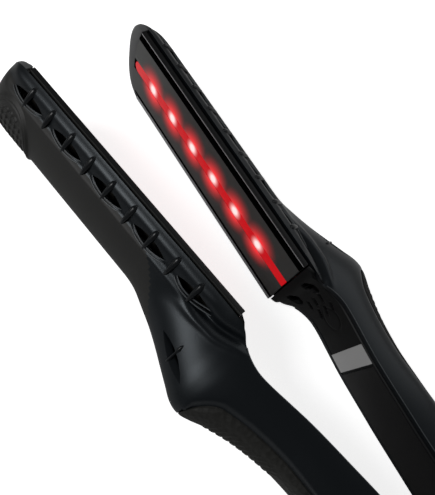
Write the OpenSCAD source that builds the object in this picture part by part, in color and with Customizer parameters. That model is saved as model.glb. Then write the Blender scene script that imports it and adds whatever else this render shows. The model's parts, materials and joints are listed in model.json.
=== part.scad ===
// Hair straightener: two hinged arms with floating heated plates, open and lying on its side.
// Z is the hinge axis, +X runs from the hinge to the tips, and Z = 0 is the surface it lies on.
// Each arm is drawn in its own frame and then placed: x along the arm from the hinge axis,
// y outward from the plane where the two plates meet, z across the arm from its centre plane.

/* [Whole iron] */
// Full angle between the open arms, in degrees
open_angle = 9.1; // [7:0.1:12]
// Width of the iron, across the barrels and across the hinge
iron_w = 37.4; // [37:0.2:40]
// Thickness of the moulded walls
wall = 2; // [1.8:0.1:2.2]

/* [Barrel] */
// Hinge axis to the rear end of the heated plate
plate_start = 163; // [158:1:172]
// How far the plate's straight edges reach into the rounded nose
plate_reach = 7; // [5:0.5:8]
// Length of the rounded nose beyond the straight part
nose_len = 18; // [17:0.5:24]
// Height of the barrel's back above the plane where the plates meet
barrel_h = 17.2; // [16.4:0.2:18.4]
// Height of the shell's rim above that plane
rim_h = 3.4; // [3.3:0.1:4]

/* [Ribs and vents] */
// Distance from one rib to the next
rib_pitch = 11; // [9:0.5:12]
// Plate's rear end to the first rib
rib_start = 14; // [12:1:18]
// Radius of a rib's rounded crest
rib_r = 1.6; // [1.2:0.1:2]
// Length of a leaf-shaped vent
vent_len = 15.6; // [12:0.2:18]
// Width of a leaf-shaped vent
vent_w = 3.8; // [3:0.2:5]

/* [Hump and handle] */
// Height of the hump behind the barrel
hump_h = 32; // [30:0.5:34]
// Distance of the hump's top behind the plate's rear end
hump_back = 9; // [8:0.5:11]
// Height of the handle's back
handle_h = 19.3; // [18.6:0.1:22]
// Width of the handle
handle_w = 27.4; // [26.6:0.2:30]
// Height of the handle's inner edge in the neck behind the plate
neck_h = 8; // [7.4:0.1:8.6]
// Height of the handle's inner edge beside the hinge
heel_h = 2.2; // [2:0.1:2.6]
// Thickness of the soft grip insert on the handle's back
grip_t = 1.2; // [1:0.1:1.4]
// Width of the soft grip insert
grip_w = 16; // [12:0.5:17]

/* [Heated plates] */
// How far a plate's long edges lie inside the shell's sides
plate_side = 0.35; // [0.3:0.05:0.8]
// Length of a heated plate along its edges
plate_len = 110; // [94:1:118]
// Rise of the arc at the plate's front end
plate_crown = 4; // [3:0.5:5]
// Thickness of a heated plate
plate_t = 1.9; // [1.7:0.1:2]
// How far a plate gives way when hair is pressed
plate_travel = 1; // [0.8:0.1:1.1]
// Gap left between the two plates when the arms are closed
closed_gap = 0.3; // [0.3:0.1:0.5]

/* [Light strip] */
// Width of the red window in the lower plate
window_w = 5.2; // [4:0.2:5.6]
// Number of light-emitting diodes
led_count = 6; // [3:1:6]
// Plate's rear end to the first diode
led_start = 18; // [14:1:20]
// Last diode to the front end of the plate's straight edges
led_end = 12.5; // [12:0.5:16]

/* [Hinge and cord inlet] */
// Radius of the round hinge drums
hinge_r = 13; // [12.6:0.1:14]
// Diameter of the hinge pin
pin_d = 5; // [4:0.2:5.6]
// Width of the middle drum
knuckle_w = 12.2; // [11:0.2:12.6]
// Diameter of the cord that the inlet takes
cord_d = 7; // [6:0.2:7.6]
// Diameter of the swivel's neck
swivel_d = 11; // [10.4:0.1:11.4]

/* [Controls] */
// Hinge axis to the power button
power_x = 66; // [64:1:67]
// Radius of the power button
power_r = 4.5; // [4:0.1:4.8]
// Hinge axis to the minus button
minus_x = 78; // [77.5:0.5:78.5]
// Hinge axis to the plus button
plus_x = 88; // [87.5:0.5:88.5]
// Radius of the plus and minus buttons
small_r = 3.4; // [3:0.1:3.6]
// How far a button travels
button_travel = 0.5; // [0.3:0.1:0.6]
// How far a button stands out of the panel
button_out = 0.8; // [0.6:0.1:1]

/* [Fits] */
// Radial clearance of a turning or sliding fit
fit_gap = 0.05; // [0.02:0.01:0.08]
// Gap round pieces that don't touch
free_gap = 0.3; // [0.3:0.05:0.4]
// Gap between pieces of one arm that only lie beside each other
seat_gap = 0.15; // [0.1:0.05:0.2]

/* [Hidden] */

half_w = iron_w/2;
plate_w = iron_w - 2*plate_side;
half_angle = open_angle/2;
nose_start = plate_start + plate_len - plate_reach;
tip_x = nose_start + nose_len;
hump_x = plate_start - hump_back;
drum_edge = half_w - 2.2;
shell_rear = hinge_r + 1;
over = 1;
eps = 0.01;

// Numbers of points round a section, outside and inside the walls
ring_pts = 23;
inner_pts = 13;
// How square the barrel's section and the nose are: 1 gives a plain roof, 2 an ellipse
barrel_power = 1.56;
// Half width of the barrel's full section, of which the part above the rim is kept
barrel_side = half_w/pow(1 - pow(rim_h/barrel_h, barrel_power), 1/barrel_power);
// Room left for the straight runs that stand in for curved walls
chord_gap = 0.3;

// Colours of the mouldings and metals
shell_colour = [0.11, 0.12, 0.13];
cover_colour = [0.13, 0.13, 0.14];
grip_colour = [0.2, 0.2, 0.19];
plate_colour = [0.26, 0.26, 0.26];
steel_colour = [0.7, 0.71, 0.73];

function mix(a, b, t) = a + (b - a)*t;

// Position of the last row whose x is not past the wanted one
function row_before(rows, x) =
    max([0, for (i = [0:len(rows) - 2]) if (rows[i][0] <= x) i]);

// Slope of the curve at one of its rows
function slope(rows, i) =
    let (a = max(0, i - 1), b = min(len(rows) - 1, i + 1))
    (rows[b][1] - rows[a][1])/(rows[b][0] - rows[a][0]);

// Smooth curve through rows of [x, value], read at x
function curve(rows, x) =
    let (i = row_before(rows, x),
         a = rows[i],
         b = rows[i + 1],
         d = b[0] - a[0],
         t = min(1, max(0, (x - a[0])/d)),
         u = 1 - t)
    (1 + 2*t)*u*u*a[1] + t*u*u*d*slope(rows, i)
    + t*t*(3 - 2*t)*b[1] - t*t*u*d*slope(rows, i + 1);

// Back of the handle and the hump: from the hinge up to the hump and down to the barrel
back_rows = [
    [shell_rear - over, hinge_r],
    [30, handle_h - 2.8],
    [50, handle_h - 0.7],
    [75, handle_h + 0.1],
    [hump_x - 54, mix(handle_h, hump_h, 0.06)],
    [hump_x - 34, mix(handle_h, hump_h, 0.17)],
    [hump_x - 26, mix(handle_h, hump_h, 0.28)],
    [hump_x - 19, mix(handle_h, hump_h, 0.42)],
    [hump_x - 14, mix(handle_h, hump_h, 0.55)],
    [hump_x - 9, mix(handle_h, hump_h, 0.71)],
    [hump_x - 5, mix(handle_h, hump_h, 0.87)],
    [hump_x - 1.5, mix(handle_h, hump_h, 0.98)],
    [hump_x + 1, hump_h],
    [hump_x + 4, mix(barrel_h, hump_h, 0.96)],
    [hump_x + 8, mix(barrel_h, hump_h, 0.84)],
    [hump_x + 14, mix(barrel_h, hump_h, 0.66)],
    [hump_x + 20, mix(barrel_h, hump_h, 0.48)],
    [hump_x + 26, mix(barrel_h, hump_h, 0.32)],
    [hump_x + 32, mix(barrel_h, hump_h, 0.19)],
    [hump_x + 38, mix(barrel_h, hump_h, 0.06)],
    [hump_x + 44, mix(barrel_h, hump_h, -0.05)],
    [hump_x + 50, mix(barrel_h, hump_h, -0.15)]
];

// Inner edge of the shell: low beside the hinge, high in the neck, then the barrel's rim
rim_rows = [
    [shell_rear - over, heel_h],
    [60, heel_h + 0.5],
    [plate_start - 65, mix(heel_h, neck_h, 0.3)],
    [plate_start - 53, mix(heel_h, neck_h, 0.42)],
    [plate_start - 43, mix(heel_h, neck_h, 0.53)],
    [plate_start - 36, mix(heel_h, neck_h, 0.64)],
    [plate_start - 29, mix(heel_h, neck_h, 0.8)],
    [plate_start - 21, mix(heel_h, neck_h, 0.98)],
    [plate_start - 16, neck_h],
    [plate_start - 11, mix(rim_h, neck_h, 0.74)],
    [plate_start - 7, mix(rim_h, neck_h, 0.3)],
    [plate_start - 2, rim_h],
    [hump_x + 50, rim_h]
];

// Half width of the handle, which swells to meet the hinge drums
side_rows = [
    [shell_rear - over, drum_edge],
    [30, mix(handle_w/2, drum_edge, 0.55)],
    [50, mix(handle_w/2, drum_edge, 0.18)],
    [75, handle_w/2 + 0.1],
    [plate_start - 63, handle_w/2],
    [plate_start - 23, handle_w/2 - 0.1],
    [plate_start - 5, handle_w/2 + 0.5],
    [plate_start + 11, handle_w/2 + 0.8],
    [hump_x + 50, handle_w/2 - 0.4]
];

// How square the handle's section is: as for the barrel, more than 2 is fuller than an ellipse
square_rows = [
    [shell_rear - over, 3],
    [plate_start - 63, 2.9],
    [plate_start - 43, 2.2],
    [plate_start - 28, 1.88],
    [plate_start - 13, 1.72],
    [plate_start - 5, 1.66],
    [plate_start + 11, 1.58],
    [hump_x + 50, 1.56]
];

// Half width of the barrel where its rear end rounds off into the neck
barrel_rows = [
    [plate_start - 14, barrel_side - 7],
    [plate_start - 11, barrel_side - 4.4],
    [plate_start - 8, barrel_side - 2.5],
    [plate_start - 5, barrel_side - 1.2],
    [plate_start - 2, barrel_side - 0.3],
    [plate_start + 1, barrel_side]
];

function back_y(x) = curve(back_rows, x);
function rim_y(x) = curve(rim_rows, x);
function side_z(x) = curve(side_rows, x);
function barrel_z(x) = x < plate_start + 1 ? curve(barrel_rows, x) : barrel_side;

// Height of the handle's skin at x, at a distance z from its centre plane
function handle_y(x, z) =
    let (n = curve(square_rows, x), base = rim_y(x))
    base + (back_y(x) - base)*pow(1 - pow(abs(z)/side_z(x), n), 1/n);

// Section of the handle: a rounded, flat-based loaf across the arm at x
function handle_ring(x, inset, drop, pts) =
    let (n = curve(square_rows, x),
         base = rim_y(x) - drop,
         top = back_y(x) - inset,
         side = side_z(x) - inset)
    [for (i = [0:pts - 1])
        let (a = -90 + 180*i/(pts - 1))
        [x, base + (top - base)*pow(abs(cos(a)), 2/n), side*sign(a)*pow(abs(sin(a)), 2/n)]];

// Section of the barrel: a superellipse on the plates' plane, cut off at the rim
function barrel_ring(x, side, top, cut, pts) =
    let (reach = acos(min(0.999, pow(cut/top, barrel_power/2))))
    [for (i = [0:pts - 1])
        let (a = reach*(2*i/(pts - 1) - 1))
        [x, top*pow(cos(a), 2/barrel_power), side*sign(a)*pow(abs(sin(a)), 2/barrel_power)]];

// How much of the barrel's width and height is left at a share u of the nose
nose_corner = 4.3;
nose_brow = 3.5;
nose_end_h = 0.5;
function nose_width(u) = pow(1 - pow(u, nose_corner), 0.38);
function nose_height(u) = mix(nose_end_h, 1, pow(1 - pow(u, nose_brow), 0.44));

handle_steps = [
    for (x = [shell_rear - over:8:plate_start - 45]) x,
    for (x = [plate_start - 40:4:plate_start - 24]) x,
    for (x = [plate_start - 21:3:plate_start + 12]) x,
    for (x = [plate_start + 17:5:hump_x + 50]) x
];
rear_steps = [for (r = barrel_rows) r[0]];
nose_steps = [0, 0.2, 0.4, 0.56, 0.68, 0.78, 0.86, 0.92, 0.96, 0.985, 0.998];

// Closed skin over a stack of rings that all have the same number of points
module skin(rings) {
    m = len(rings[0]);
    n = len(rings);
    sides = [for (j = [0:n - 2], i = [0:m - 1])
        let (k = (i + 1) % m)
        each [[j*m + k, j*m + i, (j + 1)*m + k], [(j + 1)*m + k, j*m + i, (j + 1)*m + i]]];
    first = [[for (i = [0:m - 1]) i]];
    last = [[for (i = [m - 1:-1:0]) (n - 1)*m + i]];
    polyhedron([for (r = rings) each r], concat(sides, first, last), convexity = 6);
}

module handle_form(inset, drop, pts = ring_pts, skip = 1) {
    skin([for (i = [0:skip:len(handle_steps) - 1]) handle_ring(handle_steps[i], inset, drop, pts)]);
}

module barrel_form(inset, drop, pts = ring_pts, skip = 1) {
    nose = nose_len - inset;
    rear = [for (x = rear_steps)
        barrel_ring(x, barrel_z(x) - inset, barrel_h - inset, rim_h - drop, pts)];
    front = [for (i = [0:skip:len(nose_steps) - 1])
        let (u = nose_steps[i])
        barrel_ring(nose_start + u*nose, (barrel_side - inset)*nose_width(u),
                    (barrel_h - inset)*nose_height(u), rim_h - drop, pts)];
    skin(concat(rear, front));
}

// Flat strip that follows a run of the inner edge, from one offset to another
module edge_strip(rows, x0, x1, off0, off1, half, step = 3) {
    n = ceil((x1 - x0)/step);
    xs = [for (i = [0:n]) mix(x0, x1, i/n)];
    translate([0, 0, -half])
    linear_extrude(2*half)
    polygon(concat([for (x = xs) [x, curve(rows, x) + off0]],
                   [for (i = [n:-1:0]) [xs[i], curve(rows, xs[i]) + off1]]));
}

// Round peg or hole along y, from y0 to y1
module post(x, y0, y1, z, r, sides = 40) {
    translate([x, y0, z])
    rotate([-90, 0, 0])
    cylinder(r = r, h = y1 - y0, $fn = sides);
}

// Shape seen along y, drawn as an x-z outline, from y0 to y1
module slab(y0, y1) {
    translate([0, y1, 0])
    rotate([90, 0, 0])
    linear_extrude(y1 - y0)
    children();
}

// The two arms' places in the whole iron
module upper() {
    translate([0, 0, half_w])
    rotate([0, 0, half_angle])
    children();
}

module lower() {
    translate([0, 0, half_w])
    rotate([0, 0, -half_angle])
    mirror([0, 1, 0])
    children();
}

// Shells with ribs, vents and the bosses inside
rib_end = 4;
rib_count = 2*floor((plate_len - rib_end - rib_start)/(2*rib_pitch)) + 1;
// Angle round the section and share of the crest's radius, from a rib's bold end to its faint one
rib_run = [[66, 1], [57, 0.85], [48, 0.55]];
rib_proud = 0.8;
vent_angle = 53.5;
vent_tilt = 47;
vent_depth = 6;
slot_w = 2.6;
slot_len = 14.5;
slot_z = 5.9;
slot_x = hump_x + 13;
slot_floor = barrel_h + 0.4;
boss_r = 3.2;
screw_r = 1.3;
screw_grip = 4;
screw_head_r = 2.4;
screw_head_h = 1.4;
front_screw_x = plate_start - 6.5;
front_screw_z = 7;
rear_screw_x = 49;
screw_clear = 0.2;
screw_hole_r = screw_r + seat_gap;
boss_y = 9.8;
seat_y = 8.2;
screw_end = boss_y + screw_grip + 0.3;
grip_front = hump_x - 1;
grip_rear = 30;
grip_groove = 0.5;

// Point on the barrel's section at an angle from the back's centre line
function shoulder(a, lift) =
    let (s = barrel_side + lift, t = barrel_h + lift)
    [t*pow(cos(a), 2/barrel_power), s*pow(sin(a), 2/barrel_power)];

module rib(x, side) {
    hull()
    for (q = rib_run)
        let (r = rib_r*q[1], p = shoulder(q[0], rib_proud*q[1] - r))
        translate([x, p[0], side*p[1]])
        sphere(r = r, $fn = 10);
}

// Leaf outline: the overlap of two equal circles
module leaf(len, width) {
    r = (len*len/4 + width*width/4)/width;
    intersection_for (side = [-1, 1])
        translate([0, side*(r - width/2)])
        circle(r = r, $fn = 48);
}

module vent(x, side) {
    p = shoulder(vent_angle, 0);
    translate([x, p[0], side*p[1]])
    rotate([side*vent_tilt - 90, 0, 0])
    translate([0, 0, -vent_depth/2])
    linear_extrude(vent_depth)
    leaf(vent_len, vent_w);
}

// Cross rib over a hump slot, with a nub at its outer end
bar_r = 1.1;
bar_sink = 0.7;

module slot_bar(side) {
    hull()
    for (z = [slot_z - slot_w, slot_z + slot_w])
        translate([slot_x, handle_y(slot_x, z) - bar_sink, side*z])
        sphere(r = bar_r, $fn = 10);
}

module grip_outline(grow) {
    r = grip_w/2 + grow;
    translate([grip_rear + grip_w/2, -r])
    square([grip_front - grip_rear - grip_w, 2*r]);
    for (x = [grip_rear + grip_w/2, grip_front - grip_w/2])
        translate([x, 0])
        circle(r = r, $fn = 32);
}

module arm_shell() {
    difference() {
        union() {
            difference() {
                union() {
                    barrel_form(0, 0);
                    handle_form(0, 0);
                }
                barrel_form(wall, over, inner_pts, 2);
                handle_form(wall, over, inner_pts, 2);
                for (side = [-1, 1]) {
                    for (i = [0:2:rib_count - 1])
                        vent(plate_start + rib_start + i*rib_pitch, side);
                    translate([slot_x - slot_len/2, slot_floor, side*slot_z - slot_w/2])
                    cube([slot_len, hump_h, slot_w]);
                }
            }
            for (side = [-1, 1]) {
                for (i = [0:rib_count - 1])
                    rib(plate_start + rib_start + i*rib_pitch, side);
                slot_bar(side);
                intersection() {
                    post(front_screw_x, boss_y, hump_h, side*front_screw_z, boss_r, 20);
                    handle_form(wall/2, 0);
                }
            }
            post(rear_screw_x, boss_y, back_y(rear_screw_x) - grip_t - chord_gap, 0, boss_r, 20);
        }
        for (side = [-1, 1])
            post(front_screw_x, boss_y - over, screw_end, side*front_screw_z, screw_hole_r, 16);
        post(rear_screw_x, boss_y - over, screw_end, 0, screw_hole_r, 16);
        grip_pocket();
        cylinder(r = hinge_r + 2*free_gap, h = iron_w, center = true, $fn = 64);
    }
}

// Room for the soft insert, a little deeper and wider than it
module grip_pocket() {
    intersection() {
        difference() {
            handle_form(-over, 0);
            handle_form(grip_t, 0);
        }
        slab(neck_h + 2, hump_h + 2)
        grip_outline(grip_groove);
    }
}

hatch_count = 8;
hatch_pitch = 2.4;
hatch_r = 0.5;
hatch_sink = 0.3;
hatch_half = 3;
hatch_slant = 1.5;

// Slanting ridge across the insert, whose crest follows the insert's skin
module hatch_ridge(x) {
    hull()
    for (side = [-1:1])
        let (at = x + side*hatch_slant, z = side*hatch_half)
        translate([at, handle_y(at, z) - hatch_sink, z])
        sphere(r = hatch_r, $fn = 6);
}

module arm_grip() {
    difference() {
        union() {
            intersection() {
                handle_form(0, 0);
                slab(neck_h + 2, hump_h + 2)
                grip_outline(0);
            }
            for (i = [0:hatch_count - 1])
                hatch_ridge(grip_front - grip_w/2 - i*hatch_pitch);
        }
        handle_form(grip_t - seat_gap/3, 0);
    }
}

// Inner covers, screwed to the shells from inside the V
cover_t = 1.6;
cover_proud = 0.3;
cover_rear = shell_rear + 2;
cover_front = plate_start - 0.4;
cover_rows = concat(
    [for (r = rim_rows) if (r[0] < plate_start - 10) [r[0], r[1] - cover_proud]],
    [[front_screw_x, mix(rim_h, neck_h, 0.25)],
     [plate_start - 3, mix(closed_gap, rim_h, 0.5)],
     [plate_start, closed_gap + 0.5]]
);
louvre_x = plate_start - 12;
louvre_len = 5;
louvre_w = 1.3;
louvre_pitch = 3.4;
louvre_tilt = 24;
louvre_row = 6;

function cover_y(x) = curve(cover_rows, x);

// Half width that a superellipse section has left at a share t of its height
function left_at(half, t, n) = half*pow(1 - pow(min(0.999, max(0, t)), n), 1/n);

// Half width of the room inside the shell at the height of the cover's back
function room_half(x) =
    let (y = cover_y(x) + cover_t,
         base = rim_y(x) - over,
         handle = left_at(side_z(x) - wall, (y - base)/(back_y(x) - wall - base), curve(square_rows, x)),
         barrel = left_at(barrel_z(x) - wall, y/(barrel_h - wall), barrel_power))
    x < plate_start - 13 ? handle : max(handle, barrel);
function cover_half(x) = room_half(x) - seat_gap - chord_gap;

module cover_outline() {
    n = 36;
    xs = [for (i = [0:n]) mix(cover_rear, cover_front, i/n)];
    polygon(concat([for (x = xs) [x, cover_half(x)]],
                   [for (i = [n:-1:0]) [xs[i], -cover_half(xs[i])]]));
}

module arm_cover() {
    difference() {
        union() {
            intersection() {
                edge_strip(cover_rows, cover_rear - over, cover_front + 0.2, 0, cover_t, half_w, 2.5);
                slab(-over, neck_h + cover_t + over)
                cover_outline();
            }
            for (side = [-1, 1])
                post(front_screw_x, cover_y(front_screw_x) + 1, boss_y - screw_clear,
                     side*front_screw_z, boss_r);
            post(rear_screw_x, cover_y(rear_screw_x) + 1, boss_y - screw_clear, 0, boss_r);
        }
        for (side = [-1, 1]) {
            post(front_screw_x, -over, seat_y, side*front_screw_z, screw_head_r + screw_clear);
            post(front_screw_x, seat_y - over, boss_y + over, side*front_screw_z, screw_r + screw_clear);
        }
        post(rear_screw_x, -over, seat_y, 0, screw_head_r + screw_clear);
        post(rear_screw_x, seat_y - over, boss_y + over, 0, screw_r + screw_clear);
        slab(0, neck_h + 2*cover_t)
        for (row = [0, 1], i = [-1:1])
            translate([louvre_x - row*louvre_row, i*louvre_pitch])
            rotate(louvre_tilt)
            square([louvre_len, louvre_w], center = true);
    }
}

module cover_screw(x, z) {
    post(x, seat_y - screw_head_h, seat_y, z, screw_head_r);
    post(x, seat_y - eps, boss_y + screw_grip, z, screw_r);
}

module arm_screws() {
    for (side = [-1, 1])
        cover_screw(front_screw_x, side*front_screw_z);
    cover_screw(rear_screw_x, 0);
}

// Nose bezel, closing the shell in front of the plate
bezel_face = closed_gap/2 + 0.5;
bezel_lip = 1;
bezel_step = 3;
tab_x = tip_x - 5;
tab_len = 3;
tab_half = 5;
tab_top = rim_h + 4;

// Nose outline pulled in from the shell's own
module nose_outline(pull) {
    edge = [for (u = nose_steps)
        [nose_start + u*(nose_len - pull), (half_w - pull)*nose_width(u)]];
    n = len(edge);
    polygon(concat(edge, [for (i = [n - 1:-1:0]) [edge[i][0], -edge[i][1]]]));
}

module plate_outline(grow) {
    half = plate_w/2 + grow;
    x1 = plate_start + plate_len;
    crown = plate_crown;
    r = (half*half + crown*crown)/(2*crown);
    translate([plate_start - grow, -half])
    square([plate_len + grow, 2*half]);
    intersection() {
        translate([x1 + crown + grow - r, 0])
        circle(r = r, $fn = 160);
        translate([x1 - over, -half])
        square([crown + grow + 2*over, 2*half]);
    }
}

module arm_bezel() {
    difference() {
        union() {
            hull() {
                slab(bezel_face, bezel_face + 0.2)
                nose_outline(bezel_step);
                slab(rim_h - seat_gap - 0.2, rim_h - seat_gap)
                nose_outline(bezel_lip);
            }
            slab(rim_h - 0.5, tab_top)
            translate([tab_x, 0])
            square([tab_len, 2*tab_half], center = true);
        }
        slab(-over, rim_h + over)
        plate_outline(free_gap + 0.1);
        slab(-over, barrel_h)
        translate([0, -half_w])
        square([plate_start + plate_len - plate_crown, iron_w]);
    }
}

// Fixed chassis behind the plate, which guides its posts
chassis_y = 7.7;
chassis_t = 1;
chassis_half = 9.8;
chassis_inset = 6;
post_r = 2;
post_len = 3.4;
post_inset = 18;
post_x = [plate_start + post_inset, plate_start + plate_len - post_inset];
spring_inset = 38;
spring_x = [plate_start + spring_inset, plate_start + plate_len - spring_inset];
spring_r = 3.2;
spring_wire = 0.9;
guide_r = post_r + 1.5;
carrier_top = 6.2;
carrier_half = 11.6;
carrier_wall = 0.8;

// Height of the barrel's inner roof at a distance z from its centre line, with some room left
function roof_y(z) = left_at(barrel_h - wall, z/(barrel_side - wall), barrel_power) - chord_gap;

module arm_chassis() {
    difference() {
        union() {
            translate([plate_start + chassis_inset, chassis_y, -chassis_half])
            cube([plate_len - chassis_inset - rib_end, chassis_t, 2*chassis_half]);
            for (x = post_x)
                post(x, chassis_y, roof_y(guide_r) - free_gap, 0, guide_r);
        }
        for (x = post_x)
            post(x, chassis_y - over, barrel_h, 0, post_r + fit_gap);
        for (x = spring_x)
            post(x, chassis_y - over, barrel_h, 0, spring_r + 0.5);
    }
}

module arm_springs() {
    for (x = spring_x)
        difference() {
            post(x, carrier_top, roof_y(spring_r) - plate_travel - free_gap, 0, spring_r);
            post(x, carrier_top - over, barrel_h, 0, spring_r - spring_wire);
        }
}

// Floating plate with its rails, and what rides behind it
plate_face = closed_gap/2;
plate_back = plate_face + plate_t;
rail_t = 1.5;
rail_drop = 0.2;
groove_y = plate_face + 1.2;
groove_d = 0.5;
bevel = 0.7;

module plate_blank() {
    difference() {
        union() {
            slab(plate_face, plate_back)
            plate_outline(0);
            for (side = [-1, 1])
                translate([plate_start, plate_back - over, side*(plate_w - rail_t)/2 - rail_t/2])
                cube([plate_len - over, over + rail_drop, rail_t]);
        }
        for (side = [-1, 1]) {
            translate([plate_start - over, groove_y, side*plate_w/2 - groove_d])
            cube([plate_len + 2*over, groove_d, 2*groove_d]);
            edge_bevel(side*plate_w/2, plate_len);
        }
    }
}

// Cutter for a 45 degree bevel along the plate's face at z
module edge_bevel(z, len) {
    translate([plate_start + len/2, plate_face, z])
    rotate([45, 0, 0])
    cube([len + 2*over, bevel, bevel], center = true);
}

module arm_carrier() {
    x0 = plate_start + 2;
    len = plate_len - 4;
    difference() {
        union() {
            translate([x0, plate_back, -carrier_half])
            cube([len, carrier_top - plate_back, 2*carrier_half]);
            for (x = post_x)
                post(x, carrier_top - 0.5, carrier_top + post_len, 0, post_r);
        }
        translate([x0 + carrier_wall, plate_back - over, carrier_wall - carrier_half])
        cube([len - 2*carrier_wall, carrier_top - carrier_wall - plate_back + over,
              2*(carrier_half - carrier_wall)]);
    }
}

heater_h = 2.6;
heater_inset = 16;
heater_x = plate_start + heater_inset;
heater_len = plate_len - heater_inset - led_end;
heater_edge = carrier_half - carrier_wall - 0.4;

// Flat ceramic strip on the plate's back, from z0 to z1
module heater_strip(z0, z1) {
    translate([heater_x, plate_back, z0])
    cube([heater_len, heater_h, z1 - z0]);
}

// Small round part lying along the arm behind the plate
module bead(x, len, z, r) {
    translate([x, plate_back + r, z])
    rotate([0, 90, 0])
    cylinder(r = r, h = len, $fn = 32);
}

// Wires along a smooth path of hand-picked points
function path_at(pts, t) =
    let (n = len(pts) - 1,
         i = min(n - 1, floor(t*n)),
         s = t*n - i,
         p0 = pts[max(0, i - 1)],
         p1 = pts[i],
         p2 = pts[i + 1],
         p3 = pts[min(n, i + 2)])
    0.5*((2*p1) + (p2 - p0)*s + (2*p0 - 5*p1 + 4*p2 - p3)*s*s + (3*p1 - p0 - 3*p2 + p3)*s*s*s);

module wire(pts, r) {
    steps = 7*(len(pts) - 1);
    sides = 8;
    skin([for (j = [0:steps])
        let (t = j/steps,
             c = path_at(pts, t),
             d = path_at(pts, min(1, t + 0.01)) - path_at(pts, max(0, t - 0.01)),
             u = cross([0, 0, 1], d)/norm(cross([0, 0, 1], d)),
             v = cross(d, u)/norm(cross(d, u)))
        [for (i = [0:sides - 1]) c + r*cos(360*i/sides)*u + r*sin(360*i/sides)*v]]);
}

wire_r = 0.9;
wire_z = 2;

// Distance before the plate's rear end and height of the points that the wires pass through
wire_run = [[36, 12.2], [22, 15.5], [10, 15.5], [3, 10.5], [-0.8, 5.8]];

module neck_wires(x0, y0, z0) {
    for (side = [-1, 1])
        wire(concat([[x0, y0, side*z0]],
                    [for (q = wire_run) [plate_start - q[0], q[1], side*wire_z]]), wire_r);
}

// Upper arm
module upper_shell() {
    color(shell_colour)
    upper()
    arm_shell();
}

board_x = 58;
board_len = 66;
board_y = 9;
board_t = 1.6;
board_half = 9.8;
standoff_r = 1.6;
standoff_inset = 2.5;
standoff_x = [board_x + standoff_inset, board_x + board_len - standoff_inset];
standoff_z = 7.6;
key_size = 6;
key_h = 1.6;
can_x = [board_x + 8, board_x + 19];
can_r = 3.2;
can_z = 3.6;
can_h = 6;
block_x = board_x + 28;
block_size = [14, 5.4, 12];
display_x0 = 96;
display_x1 = 114;
display_half = 5.5;
flange_grow = 0.9;
flange_t = 0.8;
stem_end = board_y - key_h - button_travel - 0.2;

module upper_inner_cover() {
    color(cover_colour)
    upper()
    difference() {
        union() {
            arm_cover();
            for (x = standoff_x, side = [-1, 1])
                post(x, cover_y(x) + 1, board_y, side*standoff_z, standoff_r);
        }
        button_hole(power_x, power_r);
        button_hole(minus_x, small_r);
        button_hole(plus_x, small_r);
        translate([display_x0 - seat_gap, -over, -display_half - seat_gap])
        cube([display_x1 - display_x0 + 2*seat_gap, board_y, 2*(display_half + seat_gap)]);
    }
}

module button_hole(x, r) {
    post(x, -over, cover_y(x) + cover_t + over, 0, r + free_gap);
}

module button(x, r) {
    color([0.2, 0.2, 0.21])
    upper() {
        post(x, cover_y(x) - button_out, stem_end, 0, r);
        post(x, cover_y(x) + cover_t + free_gap, cover_y(x) + cover_t + free_gap + flange_t, 0,
             r + flange_grow);
    }
}

module power_button() { button(power_x, power_r); }

module minus_button() { button(minus_x, small_r); }

module plus_button() { button(plus_x, small_r); }

module display_window() {
    color([0.05, 0.06, 0.08])
    upper()
    edge_strip(cover_rows, display_x0, display_x1, -0.1, cover_t - 0.2, display_half);
}

module control_board() {
    color([0.1, 0.35, 0.2])
    upper()
    union() {
        translate([board_x, board_y, -board_half])
        cube([board_len, board_t, 2*board_half]);
        for (x = [power_x, minus_x, plus_x])
            translate([x - key_size/2, board_y - key_h, -key_size/2])
            cube([key_size, key_h + 0.4, key_size]);
        translate([display_x0, cover_y(display_x1) + cover_t, 1 - display_half])
        cube([display_x1 - display_x0, board_y - cover_y(display_x1) - cover_t + 0.5,
              2*display_half - 2]);
        for (x = can_x)
            post(x, board_y + 1, board_y + can_h, can_z, can_r);
        translate([block_x, board_y + 1, -block_size[2]/2])
        cube(block_size);
    }
}

module upper_nose_bezel() {
    color(cover_colour)
    upper()
    arm_bezel();
}

module upper_grip_insert() {
    color(grip_colour)
    upper()
    arm_grip();
}

module upper_chassis() {
    color(steel_colour)
    upper()
    arm_chassis();
}

module upper_plate_springs() {
    color(steel_colour)
    upper()
    arm_springs();
}

module upper_cover_screws() {
    color([0.2, 0.2, 0.2])
    upper()
    arm_screws();
}

module upper_wire_harness() {
    color([0.75, 0.15, 0.12])
    upper()
    neck_wires(board_x + board_len - 1, board_y + board_t + wire_r, wire_z);
}

module upper_heated_plate() {
    color(plate_colour)
    upper()
    plate_blank();
}

module upper_plate_carrier() {
    color([0.3, 0.28, 0.24])
    upper()
    arm_carrier();
}

module upper_heater() {
    color([0.82, 0.8, 0.74])
    upper()
    heater_strip(-heater_edge, heater_edge);
}

module thermal_fuse() {
    color(steel_colour)
    upper()
    bead(plate_start + 4, 11, 0, 1.3);
}

// Lower arm
module lower_shell() {
    color(shell_colour)
    lower()
    arm_shell();
}

module lower_inner_cover() {
    color(cover_colour)
    lower()
    arm_cover();
}

module lower_nose_bezel() {
    color(cover_colour)
    lower()
    arm_bezel();
}

module lower_grip_insert() {
    color(grip_colour)
    lower()
    arm_grip();
}

module lower_chassis() {
    color(steel_colour)
    lower()
    arm_chassis();
}

module lower_plate_springs() {
    color(steel_colour)
    lower()
    arm_springs();
}

module lower_cover_screws() {
    color([0.2, 0.2, 0.2])
    lower()
    arm_screws();
}

module lower_wire_harness() {
    color([0.75, 0.15, 0.12])
    lower()
    neck_wires(tongue_len + free_gap, tongue_y + 3, knuckle_w/2 + 2.4);
}

slot_side = window_w/2 + seat_gap;
window_front = plate_start + plate_len + plate_crown - 1;

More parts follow.
